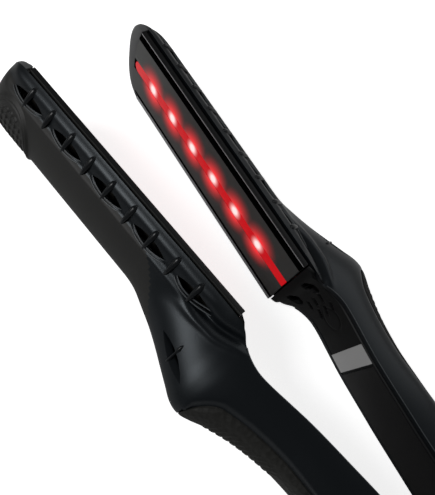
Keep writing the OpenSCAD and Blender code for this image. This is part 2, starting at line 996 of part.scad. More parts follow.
module lower_heated_plate() {
    color(plate_colour)
    lower()
    difference() {
        plate_blank();
        translate([plate_start - over, -over, -slot_side])
        cube([window_front - plate_start + over, plate_back + 2*over, 2*slot_side]);
        for (side = [-1, 1])
            edge_bevel(side*slot_side, window_front - plate_start - 2*over);
    }
}

window_sink = 0.3;
flange_side = 1;
window_flange = 0.6;

module light_window() {
    color([0.85, 0.13, 0.16, 0.85])
    lower() {
        translate([plate_start + 0.2, plate_face + window_sink, -window_w/2])
        cube([window_front - plate_start - 0.4, plate_t - window_sink, window_w]);
        translate([plate_start + 4, plate_back, -window_w/2 - flange_side])
        cube([plate_len - 8, window_flange, window_w + 2*flange_side]);
    }
}

led_r = 1.5;
led_board_y = 4.1;
led_pitch = (plate_len - led_start - led_end)/(led_count - 1);

module light_board() {
    color([0.85, 0.85, 0.8])
    lower()
    union() {
        translate([plate_start + 6, led_board_y, -window_w/2 - 0.8])
        cube([plate_len - 14, 1, window_w + 1.6]);
        for (i = [0:led_count - 1])
            post(plate_start + led_start + i*led_pitch, plate_back + window_flange + 0.1,
                 led_board_y + 0.5, 0, led_r, 24);
    }
}

module lower_plate_carrier() {
    color([0.3, 0.28, 0.24])
    lower()
    arm_carrier();
}

module lower_heater() {
    color([0.82, 0.8, 0.74])
    lower()
    for (side = [0, 1])
        mirror([0, 0, side])
        heater_strip(window_w/2 + flange_side + 0.6, heater_edge);
}

module thermistor() {
    color([0.6, 0.35, 0.1])
    lower()
    bead(plate_start + 5, 8, heater_edge - 2, 1.2);
}

label_t = 0.2;
label_gap = 0.05;
serial_x = plate_start - 38;
serial_len = 7;
rating_len = 46;
label_half = 10.6;

module serial_label() {
    color([0.7, 0.7, 0.7])
    lower()
    edge_strip(cover_rows, serial_x, serial_x + serial_len, -label_t - label_gap, -label_gap, label_half);
}

module rating_label() {
    color([0.08, 0.08, 0.08])
    lower()
    edge_strip(cover_rows, serial_x - 1 - rating_len, serial_x - 1, -label_t - label_gap, -label_gap,
               label_half);
}

// Hinge: two drums on the lower arm, one between them on the upper arm
tongue_len = 42;
tongue_y = 4.2;
tongue_h = 4.4;
ear_z = knuckle_w/2 + free_gap;
tongue_w = 5;
cap_r = hinge_r - 2.2;
cap_seat = 1.5;
tail_back = -22;
tail_half = 9;
tail_root = -5;
tail_root_half = hinge_r - 0.8;
bridge_front = -(hinge_r + 0.2);
swivel_r = swivel_d/2;
flange_r = swivel_r + 1.5;
flange_len = 1.5;
gland_back = tail_back - 5;
bridge_top = swivel_r + 1.9;

// Half height of the tail that tapers from the drums to the cord
function tail_y(x) = mix(tail_root_half, tail_half, (x - tail_root)/(tail_back - tail_root));

// Tail in plan from x0 back to x1, drawn in by pull, down to its lower side or to y_low
module tail_plan(x0, x1, pull, y_low) {
    polygon([[x0, tail_y(x0) - pull], [x1, tail_y(x1) - pull],
             [x1, max(y_low, pull - tail_y(x1))], [x0, max(y_low, pull - tail_y(x0))]]);
}

module hinge_yoke() {
    color(shell_colour)
    translate([0, 0, half_w])
    difference() {
        union() {
            for (side = [-1, 1]) {
                translate([0, 0, side*(ear_z + drum_edge)/2])
                linear_extrude(drum_edge - ear_z, center = true) {
                    circle(r = hinge_r, $fn = 72);
                    tail_plan(tail_root, tail_back, 0, -hinge_r);
                }
                rotate([0, 0, -half_angle])
                mirror([0, 1, 0])
                translate([0, tongue_y, side*(ear_z + tongue_w/2) - tongue_w/2])
                cube([tongue_len, tongue_h, tongue_w]);
            }
            translate([0, 0, -ear_z - eps])
            linear_extrude(2*ear_z + 2*eps)
            intersection() {
                tail_plan(bridge_front, tail_back, 0, -hinge_r);
                translate([tail_back, -hinge_r])
                square([bridge_front - tail_back, hinge_r + bridge_top]);
            }
        }
        cylinder(r = pin_d/2 + fit_gap/2, h = iron_w + over, center = true, $fn = 48);
        for (side = [-1, 1])
            translate([0, 0, side*(drum_edge - cap_seat/2)])
            cylinder(r = cap_r + seat_gap, h = cap_seat + eps, center = true, $fn = 72);
        translate([tail_back - over, 0, 0])
        rotate([0, 90, 0])
        cylinder(r = swivel_r + fit_gap, h = over - tail_back, $fn = 64);
        translate([bridge_front - flange_len - 0.2, 0, 0])
        rotate([0, 90, 0])
        cylinder(r = flange_r + seat_gap, h = -bridge_front, $fn = 64);
    }
}

module hinge_pin() {
    color(steel_colour)
    translate([0, 0, half_w])
    cylinder(r = pin_d/2, h = 2*(drum_edge - cap_seat - 0.2), center = true, $fn = 48);
}

module hinge_caps() {
    color(cover_colour)
    translate([0, 0, half_w])
    for (side = [-1, 1])
        translate([0, 0, side*(half_w - (half_w - drum_edge + cap_seat - 0.1)/2)])
        cylinder(r = cap_r, h = half_w - drum_edge + cap_seat - 0.1, center = true, $fn = 72);
}

bush_r = pin_d/2 + 1.5;
bush_gap = 0.01;
spring_pocket = 6.6;
pocket_z = 0.6;
knuckle_r = hinge_r - 0.4;

module hinge_knuckle() {
    color(shell_colour)
    translate([0, 0, half_w])
    difference() {
        union() {
            cylinder(r = knuckle_r, h = knuckle_w, center = true, $fn = 72);
            rotate([0, 0, half_angle])
            translate([0, tongue_y, -knuckle_w/2])
            cube([tongue_len, tongue_h, knuckle_w]);
            translate([0, 0, -knuckle_w/2])
            linear_extrude(knuckle_w)
            tail_plan(tail_root, tail_back + 2, 0.4, bridge_top + free_gap);
        }
        cylinder(r = bush_r + bush_gap, h = iron_w, center = true, $fn = 48);
        translate([0, 0, pocket_z])
        cylinder(r = spring_pocket, h = knuckle_w, $fn = 64);
    }
}

module hinge_bush() {
    color([0.72, 0.55, 0.3])
    translate([0, 0, half_w - knuckle_w/2])
    difference() {
        cylinder(r = bush_r, h = knuckle_w/2 + pocket_z, $fn = 48);
        translate([0, 0, -over])
        cylinder(r = pin_d/2 + fit_gap, h = knuckle_w, $fn = 48);
    }
}

module torsion_spring() {
    color(steel_colour)
    translate([0, 0, half_w + pocket_z + 0.1])
    difference() {
        cylinder(r = spring_pocket - 0.3, h = knuckle_w/2 - pocket_z - 0.3, $fn = 64);
        translate([0, 0, -over])
        cylinder(r = pin_d/2 + 1.4, h = knuckle_w, $fn = 48);
    }
}

// Swivelling cord inlet in the yoke's bridge
clip_t = 1.4;
clip_depth = 0.7;

module swivel_gland() {
    color([0.15, 0.15, 0.16])
    translate([0, 0, half_w])
    rotate([0, -90, 0])
    difference() {
        union() {
            translate([0, 0, -bridge_front])
            cylinder(r = swivel_r, h = bridge_front - gland_back, $fn = 64);
            translate([0, 0, -bridge_front])
            cylinder(r = flange_r, h = flange_len, $fn = 64);
        }
        translate([0, 0, -bridge_front - over])
        cylinder(r = cord_d/2 + 0.1, h = iron_w, $fn = 48);
        translate([0, 0, 0.2 - tail_back])
        difference() {
            cylinder(r = swivel_r + over, h = clip_t + 0.2, $fn = 64);
            translate([0, 0, -over])
            cylinder(r = swivel_r - clip_depth, h = clip_t + 2*over, $fn = 64);
        }
    }
}

module swivel_clip() {
    color(steel_colour)
    translate([0, 0, half_w])
    rotate([0, -90, 0])
    translate([0, 0, 0.3 - tail_back])
    difference() {
        cylinder(r = swivel_r + 1.6, h = clip_t, $fn = 64);
        translate([0, 0, -over])
        cylinder(r = swivel_r - clip_depth + 0.05, h = clip_t + 2*over, $fn = 64);
    }
}

upper_shell();
upper_inner_cover();
upper_nose_bezel();
upper_grip_insert();
upper_chassis();
upper_plate_springs();
upper_cover_screws();
upper_wire_harness();
upper_heated_plate();
upper_plate_carrier();
upper_heater();
thermal_fuse();
control_board();
display_window();
power_button();
minus_button();
plus_button();
hinge_knuckle();
hinge_bush();
torsion_spring();
lower_shell();
lower_inner_cover();
lower_nose_bezel();
lower_grip_insert();
lower_chassis();
lower_plate_springs();
lower_cover_screws();
lower_wire_harness();
lower_heated_plate();
lower_plate_carrier();
lower_heater();
thermistor();
light_window();
light_board();
serial_label();
rating_label();
hinge_yoke();
hinge_pin();
hinge_caps();
swivel_gland();
swivel_clip();
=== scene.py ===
"""Looks of a hair straightener with two hinged arms, lying open on its side, built round its CAD frame.

Every arm is worked out in its own frame and then placed: x along the arm from the hinge axis, y outward
from the plane where the two plates meet, z across the arm from its centre plane, all in millimetres.
"""
import json
import math
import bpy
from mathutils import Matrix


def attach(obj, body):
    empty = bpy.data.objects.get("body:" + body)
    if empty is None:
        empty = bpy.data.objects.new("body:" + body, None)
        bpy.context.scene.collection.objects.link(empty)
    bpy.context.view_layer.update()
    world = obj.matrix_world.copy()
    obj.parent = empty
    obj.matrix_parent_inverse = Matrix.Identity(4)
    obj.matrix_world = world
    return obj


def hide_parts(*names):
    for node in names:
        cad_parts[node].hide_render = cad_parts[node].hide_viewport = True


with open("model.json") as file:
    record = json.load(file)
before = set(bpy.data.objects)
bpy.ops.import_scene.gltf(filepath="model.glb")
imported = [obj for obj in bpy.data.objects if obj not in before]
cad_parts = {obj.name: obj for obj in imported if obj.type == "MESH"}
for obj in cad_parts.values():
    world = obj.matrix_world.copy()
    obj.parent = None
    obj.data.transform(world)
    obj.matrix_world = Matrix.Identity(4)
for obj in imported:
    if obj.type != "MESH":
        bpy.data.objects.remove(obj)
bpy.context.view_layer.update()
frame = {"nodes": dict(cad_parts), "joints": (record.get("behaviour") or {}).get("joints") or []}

import types

import bmesh
import bpy
import numpy as np
from mathutils import Matrix, Vector

bl_info = {
    "name": "Hair straightener",
    "version": (1, 0, 0),
    "blender": (4, 5, 0),
    "location": "3D View > Sidebar > Straightener",
    "description": "Builds the moulded shells, ribs, grips, plates and cover of a hair straightener",
    "category": "Add Mesh",
}

MM = 0.001
HINGE = next(joint for joint in frame["joints"] if joint["name"] == "arm_hinge")
# Side of the plates' plane on which each arm lies
ARMS = {"upper": 1, "lower": -1}
# Edges that turn by more degrees than this stay sharp
SHARP_ANGLE = 35


def linear(code):
    """Linear red, green and blue of an sRGB hex colour such as #20262a."""
    share = np.array([int(code[i:i + 2], 16) for i in (1, 3, 5)])/255
    return tuple(np.where(share <= 0.04045, share/12.92, ((share + 0.055)/1.055)**2.4))


def length(name, description, millimetres):
    """A length property with its default in millimetres."""
    return bpy.props.FloatProperty(name=name, description=description, default=millimetres*MM,
                                   min=0, unit="LENGTH", precision=5)


def colour(name, description, code):
    """A colour property with its default as an sRGB hex value."""
    return bpy.props.FloatVectorProperty(name=name, description=description, default=linear(code),
                                         subtype="COLOR", size=3, min=0, max=1)


class StraightenerSizes(bpy.types.PropertyGroup):
    """Sizes of the straightener's shells, ribs, vents, plates and grips"""

    open_angle: bpy.props.FloatProperty(
        name="Opening", description="Full angle between the open arms",
        default=math.radians(HINGE["range_deg"][1] - HINGE["range_deg"][0]), subtype="ANGLE")
    iron_w: length("Width", "Width across the barrels", 37.4)
    wall: length("Wall", "Thickness of the moulded shells", 2)
    hinge_gap: length("Hinge gap", "Radius kept free round the hinge drums", 13.6)
    barrel_h: length("Barrel height", "Height of the barrel's back above the plates' plane", 17.2)
    rim_h: length("Rim height", "Height of the shell's rim above the plates' plane", 3.4)
    nose_start: length("Nose start", "Hinge axis to where the nose starts to round off", 266)
    nose_len: length("Nose length", "Length of the rounded nose", 18)
    rib_first: length("First rib", "Hinge axis to the rearmost rib", 177)
    rib_pitch: length("Rib pitch", "Distance from one rib to the next", 11)
    rib_r: length("Rib radius", "Half width of a rib at its bold end", 1.6)
    rib_proud: length("Rib height", "How far a rib's bold end stands out of the barrel", 1.05)
    rib_count: bpy.props.IntProperty(name="Ribs", description="Ribs on each side of a barrel",
                                     default=9, min=1)
    vent_len: length("Vent length", "Length of a leaf-shaped vent", 15.8)
    vent_w: length("Vent width", "Width of a leaf-shaped vent", 3.4)
    vent_z: length("Vent place", "Centre of a vent from the barrel's centre plane", 14.9)
    emblem_x: length("Emblem place", "Hinge axis to the centre of the oval on the nose", 268.5)
    emblem_half_len: length("Emblem length", "Half length of the oval on the nose", 12.6)
    emblem_half_w: length("Emblem width", "Half width of the oval on the nose", 11.8)
    plate_start: length("Plate start", "Hinge axis to the plate's rear end", 163)
    plate_end: length("Plate end", "Hinge axis to the end of the plate's straight edges", 273)
    plate_crown: length("Plate crown", "Rise of the arc at the plate's front end", 4)
    plate_w: length("Plate width", "Width of a heated plate", 36.7)
    plate_t: length("Plate thickness", "Thickness of a heated plate", 1.9)
    plate_face: length("Plate face", "Height of the plate's face above the plates' plane", 0.15)
    window_w: length("Window width", "Width of the red window", 5.2)
    led_first: length("First diode", "Hinge axis to the rearmost diode", 181)
    led_pitch: length("Diode pitch", "Distance from one diode to the next", 15.9)
    led_count: bpy.props.IntProperty(name="Diodes", description="Diodes under the red window",
                                     default=6, min=1)
    grip_rear: length("Grip's rear end", "Hinge axis to the rear end of the soft insert", 30)
    grip_front: length("Grip's front end", "Hinge axis to the front end of the soft insert", 153)
    grip_w: length("Grip width", "Width of the soft insert", 16)


class StraightenerColours(bpy.types.PropertyGroup):
    """Colours of the straightener's mouldings, plates, window and steel"""

    shell: colour("Shell", "Satin plastic of the shells' sides", "#0d1013")
    back: colour("Back", "Back of the barrels between the vents", "#1f1f1e")
    cover: colour("Cover", "Inner covers", "#0c0d0e")
    nose: colour("Nose", "Nose pieces in front of the plates", "#515253")
    grip: colour("Grip", "Soft insert on the handles' backs", "#1a1a18")
    plate: colour("Plate", "Coating of the heated plates", "#464746")
    window: colour("Window", "Red light window", "#8a1218")
    steel: colour("Steel", "Pins, springs and clip", "#8d9094")


def millimetres(group):
    """The property group's values by name, with its lengths in millimetres."""
    kinds = group.bl_rna.properties
    return types.SimpleNamespace(**{
        key: getattr(group, key)/MM if kinds[key].unit == "LENGTH" else getattr(group, key)
        for key in type(group).__annotations__})


def curve(stations, x):
    """Smooth curve through (x, value) stations: cubic Hermite arcs whose slopes are central differences."""
    at, value = np.array(stations, float).T
    ends = np.clip(np.arange(len(at))[:, None] + (-1, 1), 0, len(at) - 1)
    slope = (value[ends[:, 1]] - value[ends[:, 0]])/(at[ends[:, 1]] - at[ends[:, 0]])
    i = np.clip(np.searchsorted(at, x, side="right") - 1, 0, len(at) - 2)
    span = at[i + 1] - at[i]
    t = np.clip((x - at[i])/span, 0, 1)
    u = 1 - t
    return ((1 + 2*t)*u*u*value[i] + t*u*u*span*slope[i]
            + t*t*(3 - 2*t)*value[i + 1] - t*t*u*span*slope[i + 1])


# Height of the handle's back above the plates' plane, as (x, height)
BACK = [(13, 13), (30, 16.5), (50, 18.6), (75, 19.4), (100, 20.06), (120, 21.46), (128, 22.86),
        (135, 24.63), (140, 26.29), (145, 28.32), (149, 30.35), (152.5, 31.75), (155, 32), (158, 31.41),
        (162, 29.63), (168, 26.97), (174, 24.3), (180, 21.94), (186, 20.01), (192, 18.09), (198, 16.46),
        (204, 14.98)]
# Height of the handle's rim above the plates' plane
RIM = [(13, 2.2), (60, 2.7), (98, 3.94), (110, 4.64), (120, 5.27), (127, 5.91), (134, 6.84), (142, 7.88),
       (147, 8), (152, 6.8), (156, 4.78), (161, 3.4), (204, 3.4)]
# Half width of the handle
SIDE = [(13, 16.5), (30, 15.24), (50, 14.2), (75, 13.8), (100, 13.7), (140, 13.6), (158, 14.2),
        (174, 14.5), (204, 13.3)]
# Power of the handle's superellipse: the higher it is, the squarer the section
SQUARE = [(13, 3), (100, 2.9), (120, 2.2), (135, 1.88), (150, 1.72), (158, 1.66), (174, 1.58), (204, 1.56)]
# How much narrower than the full section the barrel's rear end is
DRAWN_IN = [(149, 7), (152, 4.4), (155, 2.5), (158, 1.2), (161, 0.3), (164, 0)]
# Height of the middle line of the hollow in the neck's side, and of the swell above it
HOLLOW = [(150, 4.5), (156, 5.6), (160, 7.2), (164, 8.5), (170, 9.2), (176, 9.6), (186, 9.9)]
SWELL = [(150, 7.2), (155, 8.6), (158, 10.1), (162.4, 11.7), (168, 12.2), (173, 12.5), (186, 12.6)]
# Power of the barrel's superellipse
BARREL_POWER = 1.56
# Inner and outer power of the nose's curve, seen from the back and from the side
NOSE_PLAN = (4.3, 0.38)
NOSE_RISE = (3.5, 0.44)
# Where the handle's form ends, how much lower than its back the barrel starts, the stretch over which it
# rises from there, and the blend between handle and barrel
HANDLE_END = 204
ROLL_DROP = 3.2
ROLL_RISE = (159, 176)
SKIN_BLEND = 1.2
# Relief of the barrel's skin as (middle, size, width), and the stretches over which it fades in and out. The
# crease is placed from the vents' centre line, the roll's crest and the back panel's edge from the arm's
CREASE = (-0.2, -0.8, 1.4)
ROLL_CREST = (17.2, 0.3, 0.9)
PANEL_EDGE = (12.6, 0.12, 0.7)
BARREL_IN = (166, 172)
BARREL_OUT = (274, 281)
# Size and width of the hollow and the swell on the neck's side, and where they fade in and out
NECK_HOLLOW = (-1.5, 1.4)
NECK_SWELL = (0.55, 1.2)
NECK_IN = (151, 156)
NECK_OUT = (172, 182)
# Groove round the soft insert: its depth, and where it widens, off the arm's centre plane
GROOVE_DEPTH = 1.0
GROOVE_WIDENS = (3, 6.5)


def smooth_max(a, b, blend):
    """The larger of two arrays, rounded off where they come within a blend of each other: a quarter of the
    blend more where they are the same."""
    near = np.clip(0.5 + (a - b)/(2*blend), 0, 1)
    return b + (a - b)*near + blend*near*(1 - near)


def ramp(low, high, value):
    """Smooth step from 0 at low to 1 at high: 3t^2 - 2t^3 of the share t of the way."""
    t = np.clip((value - low)/(high - low), 0, 1)
    return t*t*(3 - 2*t)


def bump(value, middle, size, width):
    """Gaussian bump: size at its middle, and e times less at one width from there."""
    return size*np.exp(-((value - middle)/width)**2)


def nose_curve(u, inner, outer):
    """Falls from 1 at a share u of 0 to 0 at 1: one less u to the inner power, all to the outer power."""
    return (1 - np.clip(u, 0, 1)**inner)**outer


def nose_width(u):
    """Share of the barrel's width left at a share u of the nose."""
    return nose_curve(u, *NOSE_PLAN)


def nose_height(u):
    """Share of the barrel's height left at a share u of the nose, from all of it down to a half."""
    return 0.5 + 0.5*nose_curve(u, *NOSE_RISE)


def barrel_side(s):
    """Half width of the barrel's full section, of which the part above the rim is kept."""
    return (s.iron_w/2)/(1 - (s.rim_h/s.barrel_h)**BARREL_POWER)**(1/BARREL_POWER)


def barrel_y(s, x, z):
    """Height of the barrel's skin over a point: its superellipse, shrunk along the nose, solved for it."""
    u = (x - s.nose_start)/s.nose_len
    share = np.clip(np.abs(z)/(barrel_side(s)*np.maximum(nose_width(u), 1e-3)), 0, 1)
    return s.barrel_h*nose_height(u)*(1 - share**BARREL_POWER)**(1/BARREL_POWER)


def barrel_normal(s, z):
    """Angle of the skin's normal from the back's, on the straight part of the barrel: arc tangent of the
    skin's fall over a short step."""
    step = 0.01
    return np.arctan2(barrel_y(s, s.rib_first, z - step) - barrel_y(s, s.rib_first, z + step), 2*step)


def outward(s, z, side):
    """Unit normals of the straight barrel's skin at distances z from its centre plane, on one side."""
    tilt = barrel_normal(s, z)
    return np.stack([np.zeros(len(z)), np.cos(tilt), side*np.sin(tilt)], axis=1)


def handle_y(x, z):
    """Height of the handle's skin over a point: its superellipse solved for the height."""
    power = curve(SQUARE, x)
    high = curve(BACK, x) - curve(RIM, x)
    return curve(RIM, x) + high*(1 - np.clip(np.abs(z)/curve(SIDE, x), 0, 1)**power)**(1/power)


def handle_radius(x, angle, inset):
    """Superellipse of the handle in polar form about the rim: (height, half width, power) change with x."""
    power = curve(SQUARE, x)
    high = curve(BACK, x) - inset - curve(RIM, x)
    side = curve(SIDE, x) - inset
    return ((np.abs(np.cos(angle))/high)**power + (np.abs(np.sin(angle))/side)**power)**(-1/power)


def barrel_radius(base, angle, side, top):
    """Superellipse on the plates' plane, in polar form about a point at height base, found by halving the
    stretch from 0 to 60 mm 32 times."""
    low = np.zeros(np.broadcast(base, angle, side).shape)
    high = np.full_like(low, 60.0)
    for _ in range(32):
        middle = (low + high)/2
        y = (base + middle*np.cos(angle))/top
        z = np.abs(middle*np.sin(angle))/side
        inside = y**BARREL_POWER + z**BARREL_POWER < 1
        low = np.where(inside, middle, low)
        high = np.where(inside, high, middle)
    return low


def grip_axis(s):
    """Middle and half length of the straight line about which the soft insert's outline is drawn."""
    return (s.grip_rear + s.grip_front)/2, (s.grip_front - s.grip_rear - s.grip_w)/2


def grip_depth(s, x, z):
    """Distance inside the soft insert's outline, a bar with two round ends; less than zero outside it."""
    middle, half = grip_axis(s)
    return s.grip_w/2 - np.hypot(np.maximum(np.abs(x - middle) - half, 0), z)


def skin_relief(s, x, y, z):
    """Small relief of the outer skin, along its radius: bumps along the barrel above its rim (the crease
    that holds the vents, the roll's crest, the back panel's edge), bumps on the neck's side, and the step
    down to the groove round the soft insert."""
    across = np.abs(z)
    barrel = bump(across - s.vent_z, *CREASE) + bump(across, *ROLL_CREST) + bump(across, *PANEL_EDGE)
    run = ramp(*BARREL_IN, x)*(1 - ramp(*BARREL_OUT, x))
    above_rim = ramp(s.rim_h + 0.2, s.rim_h + 1.4, y)
    neck = ramp(*NECK_IN, x)*(1 - ramp(*NECK_OUT, x))
    hollow = bump(y, curve(HOLLOW, x), *NECK_HOLLOW)*neck
    swell = bump(y, curve(SWELL, x), *NECK_SWELL)*neck
    wide = ramp(*GROOVE_WIDENS, across)
    in_seat = ramp(-0.3 - 2.3*wide, -0.1 - 0.3*wide, grip_depth(s, x, z))*ramp(9, 11, y)
    return barrel*run*above_rim + hollow + swell - GROOVE_DEPTH*in_seat


def shell_surface(s, along, angle, inset):
    """Points of the shell's skin drawn in by inset.

    along is the x of each row; angle is measured about the rim's centre line, 0 at the back and a quarter
    turn at the rims. The skin is the smooth maximum of the handle's and the barrel's superellipses, with
    the small relief added along the radius when inset is 0."""
    x, a = np.meshgrid(along, angle, indexing="ij")
    u = np.clip((x - s.nose_start)/s.nose_len, 0, 1)
    side = (barrel_side(s) - curve(DRAWN_IN, x) - inset)*nose_width(u)
    top = (s.barrel_h - inset)*nose_height(u) - ROLL_DROP*(1 - ramp(*ROLL_RISE, x))
    base = curve(RIM, x)
    barrel = np.where(x < DRAWN_IN[0][0], 0, barrel_radius(base, a, np.maximum(side, 1e-3), top))
    handle = np.where(x > HANDLE_END, 0, handle_radius(x, a, inset))
    radius = smooth_max(handle, barrel, SKIN_BLEND)
    if inset == 0:
        radius = radius + skin_relief(s, x, base + radius*np.cos(a), radius*np.sin(a))
    place_x = np.where(u > 0, s.nose_start + u*(s.nose_len - inset), x)
    y = base + radius*np.cos(a)
    drum = np.sqrt(np.maximum(s.hinge_gap**2 - y**2, 0))
    return np.stack([np.maximum(place_x, drum), y, radius*np.sin(a)], axis=-1)


def row_places(stretches, end):
    """Places of rows along x: each (start, step) stretch runs to the next one's start, the last to end."""
    stops = [start for start, step in stretches[1:]] + [end]
    return np.concatenate([np.arange(start, stop, step) for (start, step), stop in zip(stretches, stops)])


def grid_quads(rows, cols, start=0):
    """Quads of a rows by cols grid of points, numbered from start."""
    index = start + np.arange(rows*cols).reshape(rows, cols)
    return np.stack([index[:-1, :-1], index[:-1, 1:], index[1:, 1:], index[1:, :-1]], axis=-1).reshape(-1, 4)


def strip_quads(first, second):
    """Quads between two runs of point numbers of the same length."""
    return np.stack([first[:-1], first[1:], second[1:], second[:-1]], axis=-1)


def to_world(points, arm, s):
    """Turns an arm's points by half the opening, mirrors the lower arm, and gives metres in the frame."""
    side = ARMS[arm]
    turn = side*s.open_angle/2
    x, y, z = points[:, 0], points[:, 1]*side, points[:, 2]
    return np.stack([x*math.cos(turn) - y*math.sin(turn), x*math.sin(turn) + y*math.cos(turn),
                     z + s.iron_w/2], axis=1)*MM


def tube(path, radii, normal, sides):
    """Rings of a closed tube: circles of radii round a path, in the plane of a normal and of its cross
    product with the path's direction."""
    ahead = np.gradient(path, axis=0)
    ahead /= np.linalg.norm(ahead, axis=1, keepdims=True)
    across = np.cross(ahead, normal)
    across /= np.linalg.norm(across, axis=1, keepdims=True)
    up = np.cross(across, ahead)
    turn = np.linspace(0, 2*math.pi, sides, endpoint=False)[None, :, None]
    return path[:, None] + radii[:, None, None]*(np.cos(turn)*across[:, None] + np.sin(turn)*up[:, None])


def tube_faces(rows, sides, start):
    """Quads of a tube's rings and its two end faces, numbered from start."""
    index = start + np.arange(rows*sides).reshape(rows, sides)
    loop = np.concatenate([index, index[:, :1]], axis=1)
    quads = np.stack([loop[:-1, :-1], loop[:-1, 1:], loop[1:, 1:], loop[1:, :-1]], axis=-1).reshape(-1, 4)
    return quads.tolist() + [index[0, ::-1].tolist(), index[-1].tolist()]


def join_tubes(tubes):
    """Points and faces of several tubes as one list."""
    points, faces, start = [], [], 0
    for rings in tubes:
        rows, sides = rings.shape[:2]
        points.append(rings.reshape(-1, 3))
        faces += tube_faces(rows, sides, start)
        start += rows*sides
    return np.concatenate(points), faces


def slab_faces(rows, cols):
    """Faces of a closed slab: a top grid, a bottom grid of the same size and the four edges between them."""
    top = np.arange(rows*cols).reshape(rows, cols)
    low = top + rows*cols
    return np.concatenate([
        grid_quads(rows, cols), grid_quads(rows, cols, rows*cols)[:, ::-1],
        strip_quads(low[:, 0], top[:, 0]), strip_quads(top[:, -1], low[:, -1]),
        strip_quads(top[0], low[0]), strip_quads(low[-1], top[-1])])


def double_sheet(x, y, z, low_y):
    """Points of a closed slab: the grid (x, y, z), then the same grid at the heights low_y."""
    return np.concatenate([np.stack([x, height, z], axis=-1).reshape(-1, 3) for height in (y, low_y)])


def outward_mesh(name, points, faces):
    """A mesh from points in metres and faces, turned to face outward."""
    mesh = bpy.data.meshes.new(name)
    mesh.from_pydata(points.tolist(), [], faces.tolist() if isinstance(faces, np.ndarray) else faces)
    work = bmesh.new()
    work.from_mesh(mesh)
    bmesh.ops.recalc_face_normals(work, faces=work.faces)
    work.to_mesh(mesh)
    work.free()
    return mesh


def new_piece(name, points, faces, materials, body, smooth=SHARP_ANGLE, replaces=(), index=None):
    """A piece that rides a body: edges sharper than smooth, in degrees, stay sharp, and index gives each
    face's material by number."""
    mesh = outward_mesh(name, points, faces)
    for finish in materials:
        mesh.materials.append(finish)
    if index is not None:
        mesh.polygons.foreach_set("material_index", np.asarray(index, np.int32))
    mesh.shade_smooth()
    mesh.set_sharp_from_angle(angle=math.radians(smooth))
    piece = bpy.data.objects.new(name, mesh)
    bpy.context.scene.collection.objects.link(piece)
    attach(piece, body)
    if replaces:
        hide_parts(*replaces)
    return piece


def carve(piece, points, faces):
    """Cuts closed cutters out of a piece for good."""
    cutter = bpy.data.objects.new("cutter", outward_mesh("cutter", points, faces))
    bpy.context.scene.collection.objects.link(cutter)
    cut = piece.modifiers.new("cut", "BOOLEAN")
    cut.object = cutter
    cut.operation = "DIFFERENCE"
    cut.solver = "MANIFOLD"
    bpy.context.view_layer.update()
    made = bpy.data.meshes.new_from_object(piece.evaluated_get(bpy.context.evaluated_depsgraph_get()))
    if len(made.polygons) <= len(piece.data.polygons)/2:
        raise RuntimeError(f"{piece.name} could not be cut")
    piece.modifiers.remove(cut)
    piece.data = made
    made.set_sharp_from_angle(angle=math.radians(SHARP_ANGLE))
    bpy.data.objects.remove(cutter)


def add_node(tree, kind, inputs=None, **settings):
    """Adds one node, sets its settings, and sets or links its inputs by name or number."""
    node = tree.nodes.new(kind)
    for key, value in settings.items():
        setattr(node, key, value)
    for key, value in (inputs or {}).items():
        if isinstance(value, bpy.types.NodeSocket):
            tree.links.new(value, node.inputs[key])
        else:
            node.inputs[key].default_value = value
    return node


def new_material(name):
    """An empty node material with its output, the object's coordinates and a Principled shader."""
    material = bpy.data.materials.new(name)
    material.use_nodes = True
    tree = material.node_tree
    tree.nodes.clear()
    out = add_node(tree, "ShaderNodeOutputMaterial")
    shader = add_node(tree, "ShaderNodeBsdfPrincipled")
    tree.links.new(shader.outputs["BSDF"], out.inputs["Surface"])
    place = add_node(tree, "ShaderNodeTexCoord").outputs["Object"]
    return material, tree, shader, place


# Clouds in a moulding's tone: their size in millimetres and how far the tone drifts either way
CLOUD_SIZE = 14
TONE_DRIFT = 0.15
# How far the grain changes a moulding's roughness, and the depth of a dimple in millimetres
GLOSS_DRIFT = 0.05
DIMPLE_DEPTH = 0.25
# Wear on bare sheet, wire or foil: its size in millimetres and how far the roughness drifts either way
WEAR_SIZE = 3
WEAR_DRIFT = 0.15
# Reach of the diodes' light, which is a painted glow on the plate round the window: all of it up to the first
# distance and none past the second, in millimetres, and the power with which it falls between them
HALO = (2.0, 12.0, 2.2)
HOT_SPOT = (1.3, 4.4, 1.6)
HALO_LEVEL = 1.9
WINDOW_LEVEL = (0.6, 1.15)
# Linear colour over a diode, where the red burns out
HOT_TONE = (1.0, 0.72, 0.70)
# Roughness of the plates' coating, with its grain's size and relief in millimetres
PLATE_COATING = (0.42, 0.3, 0.004)


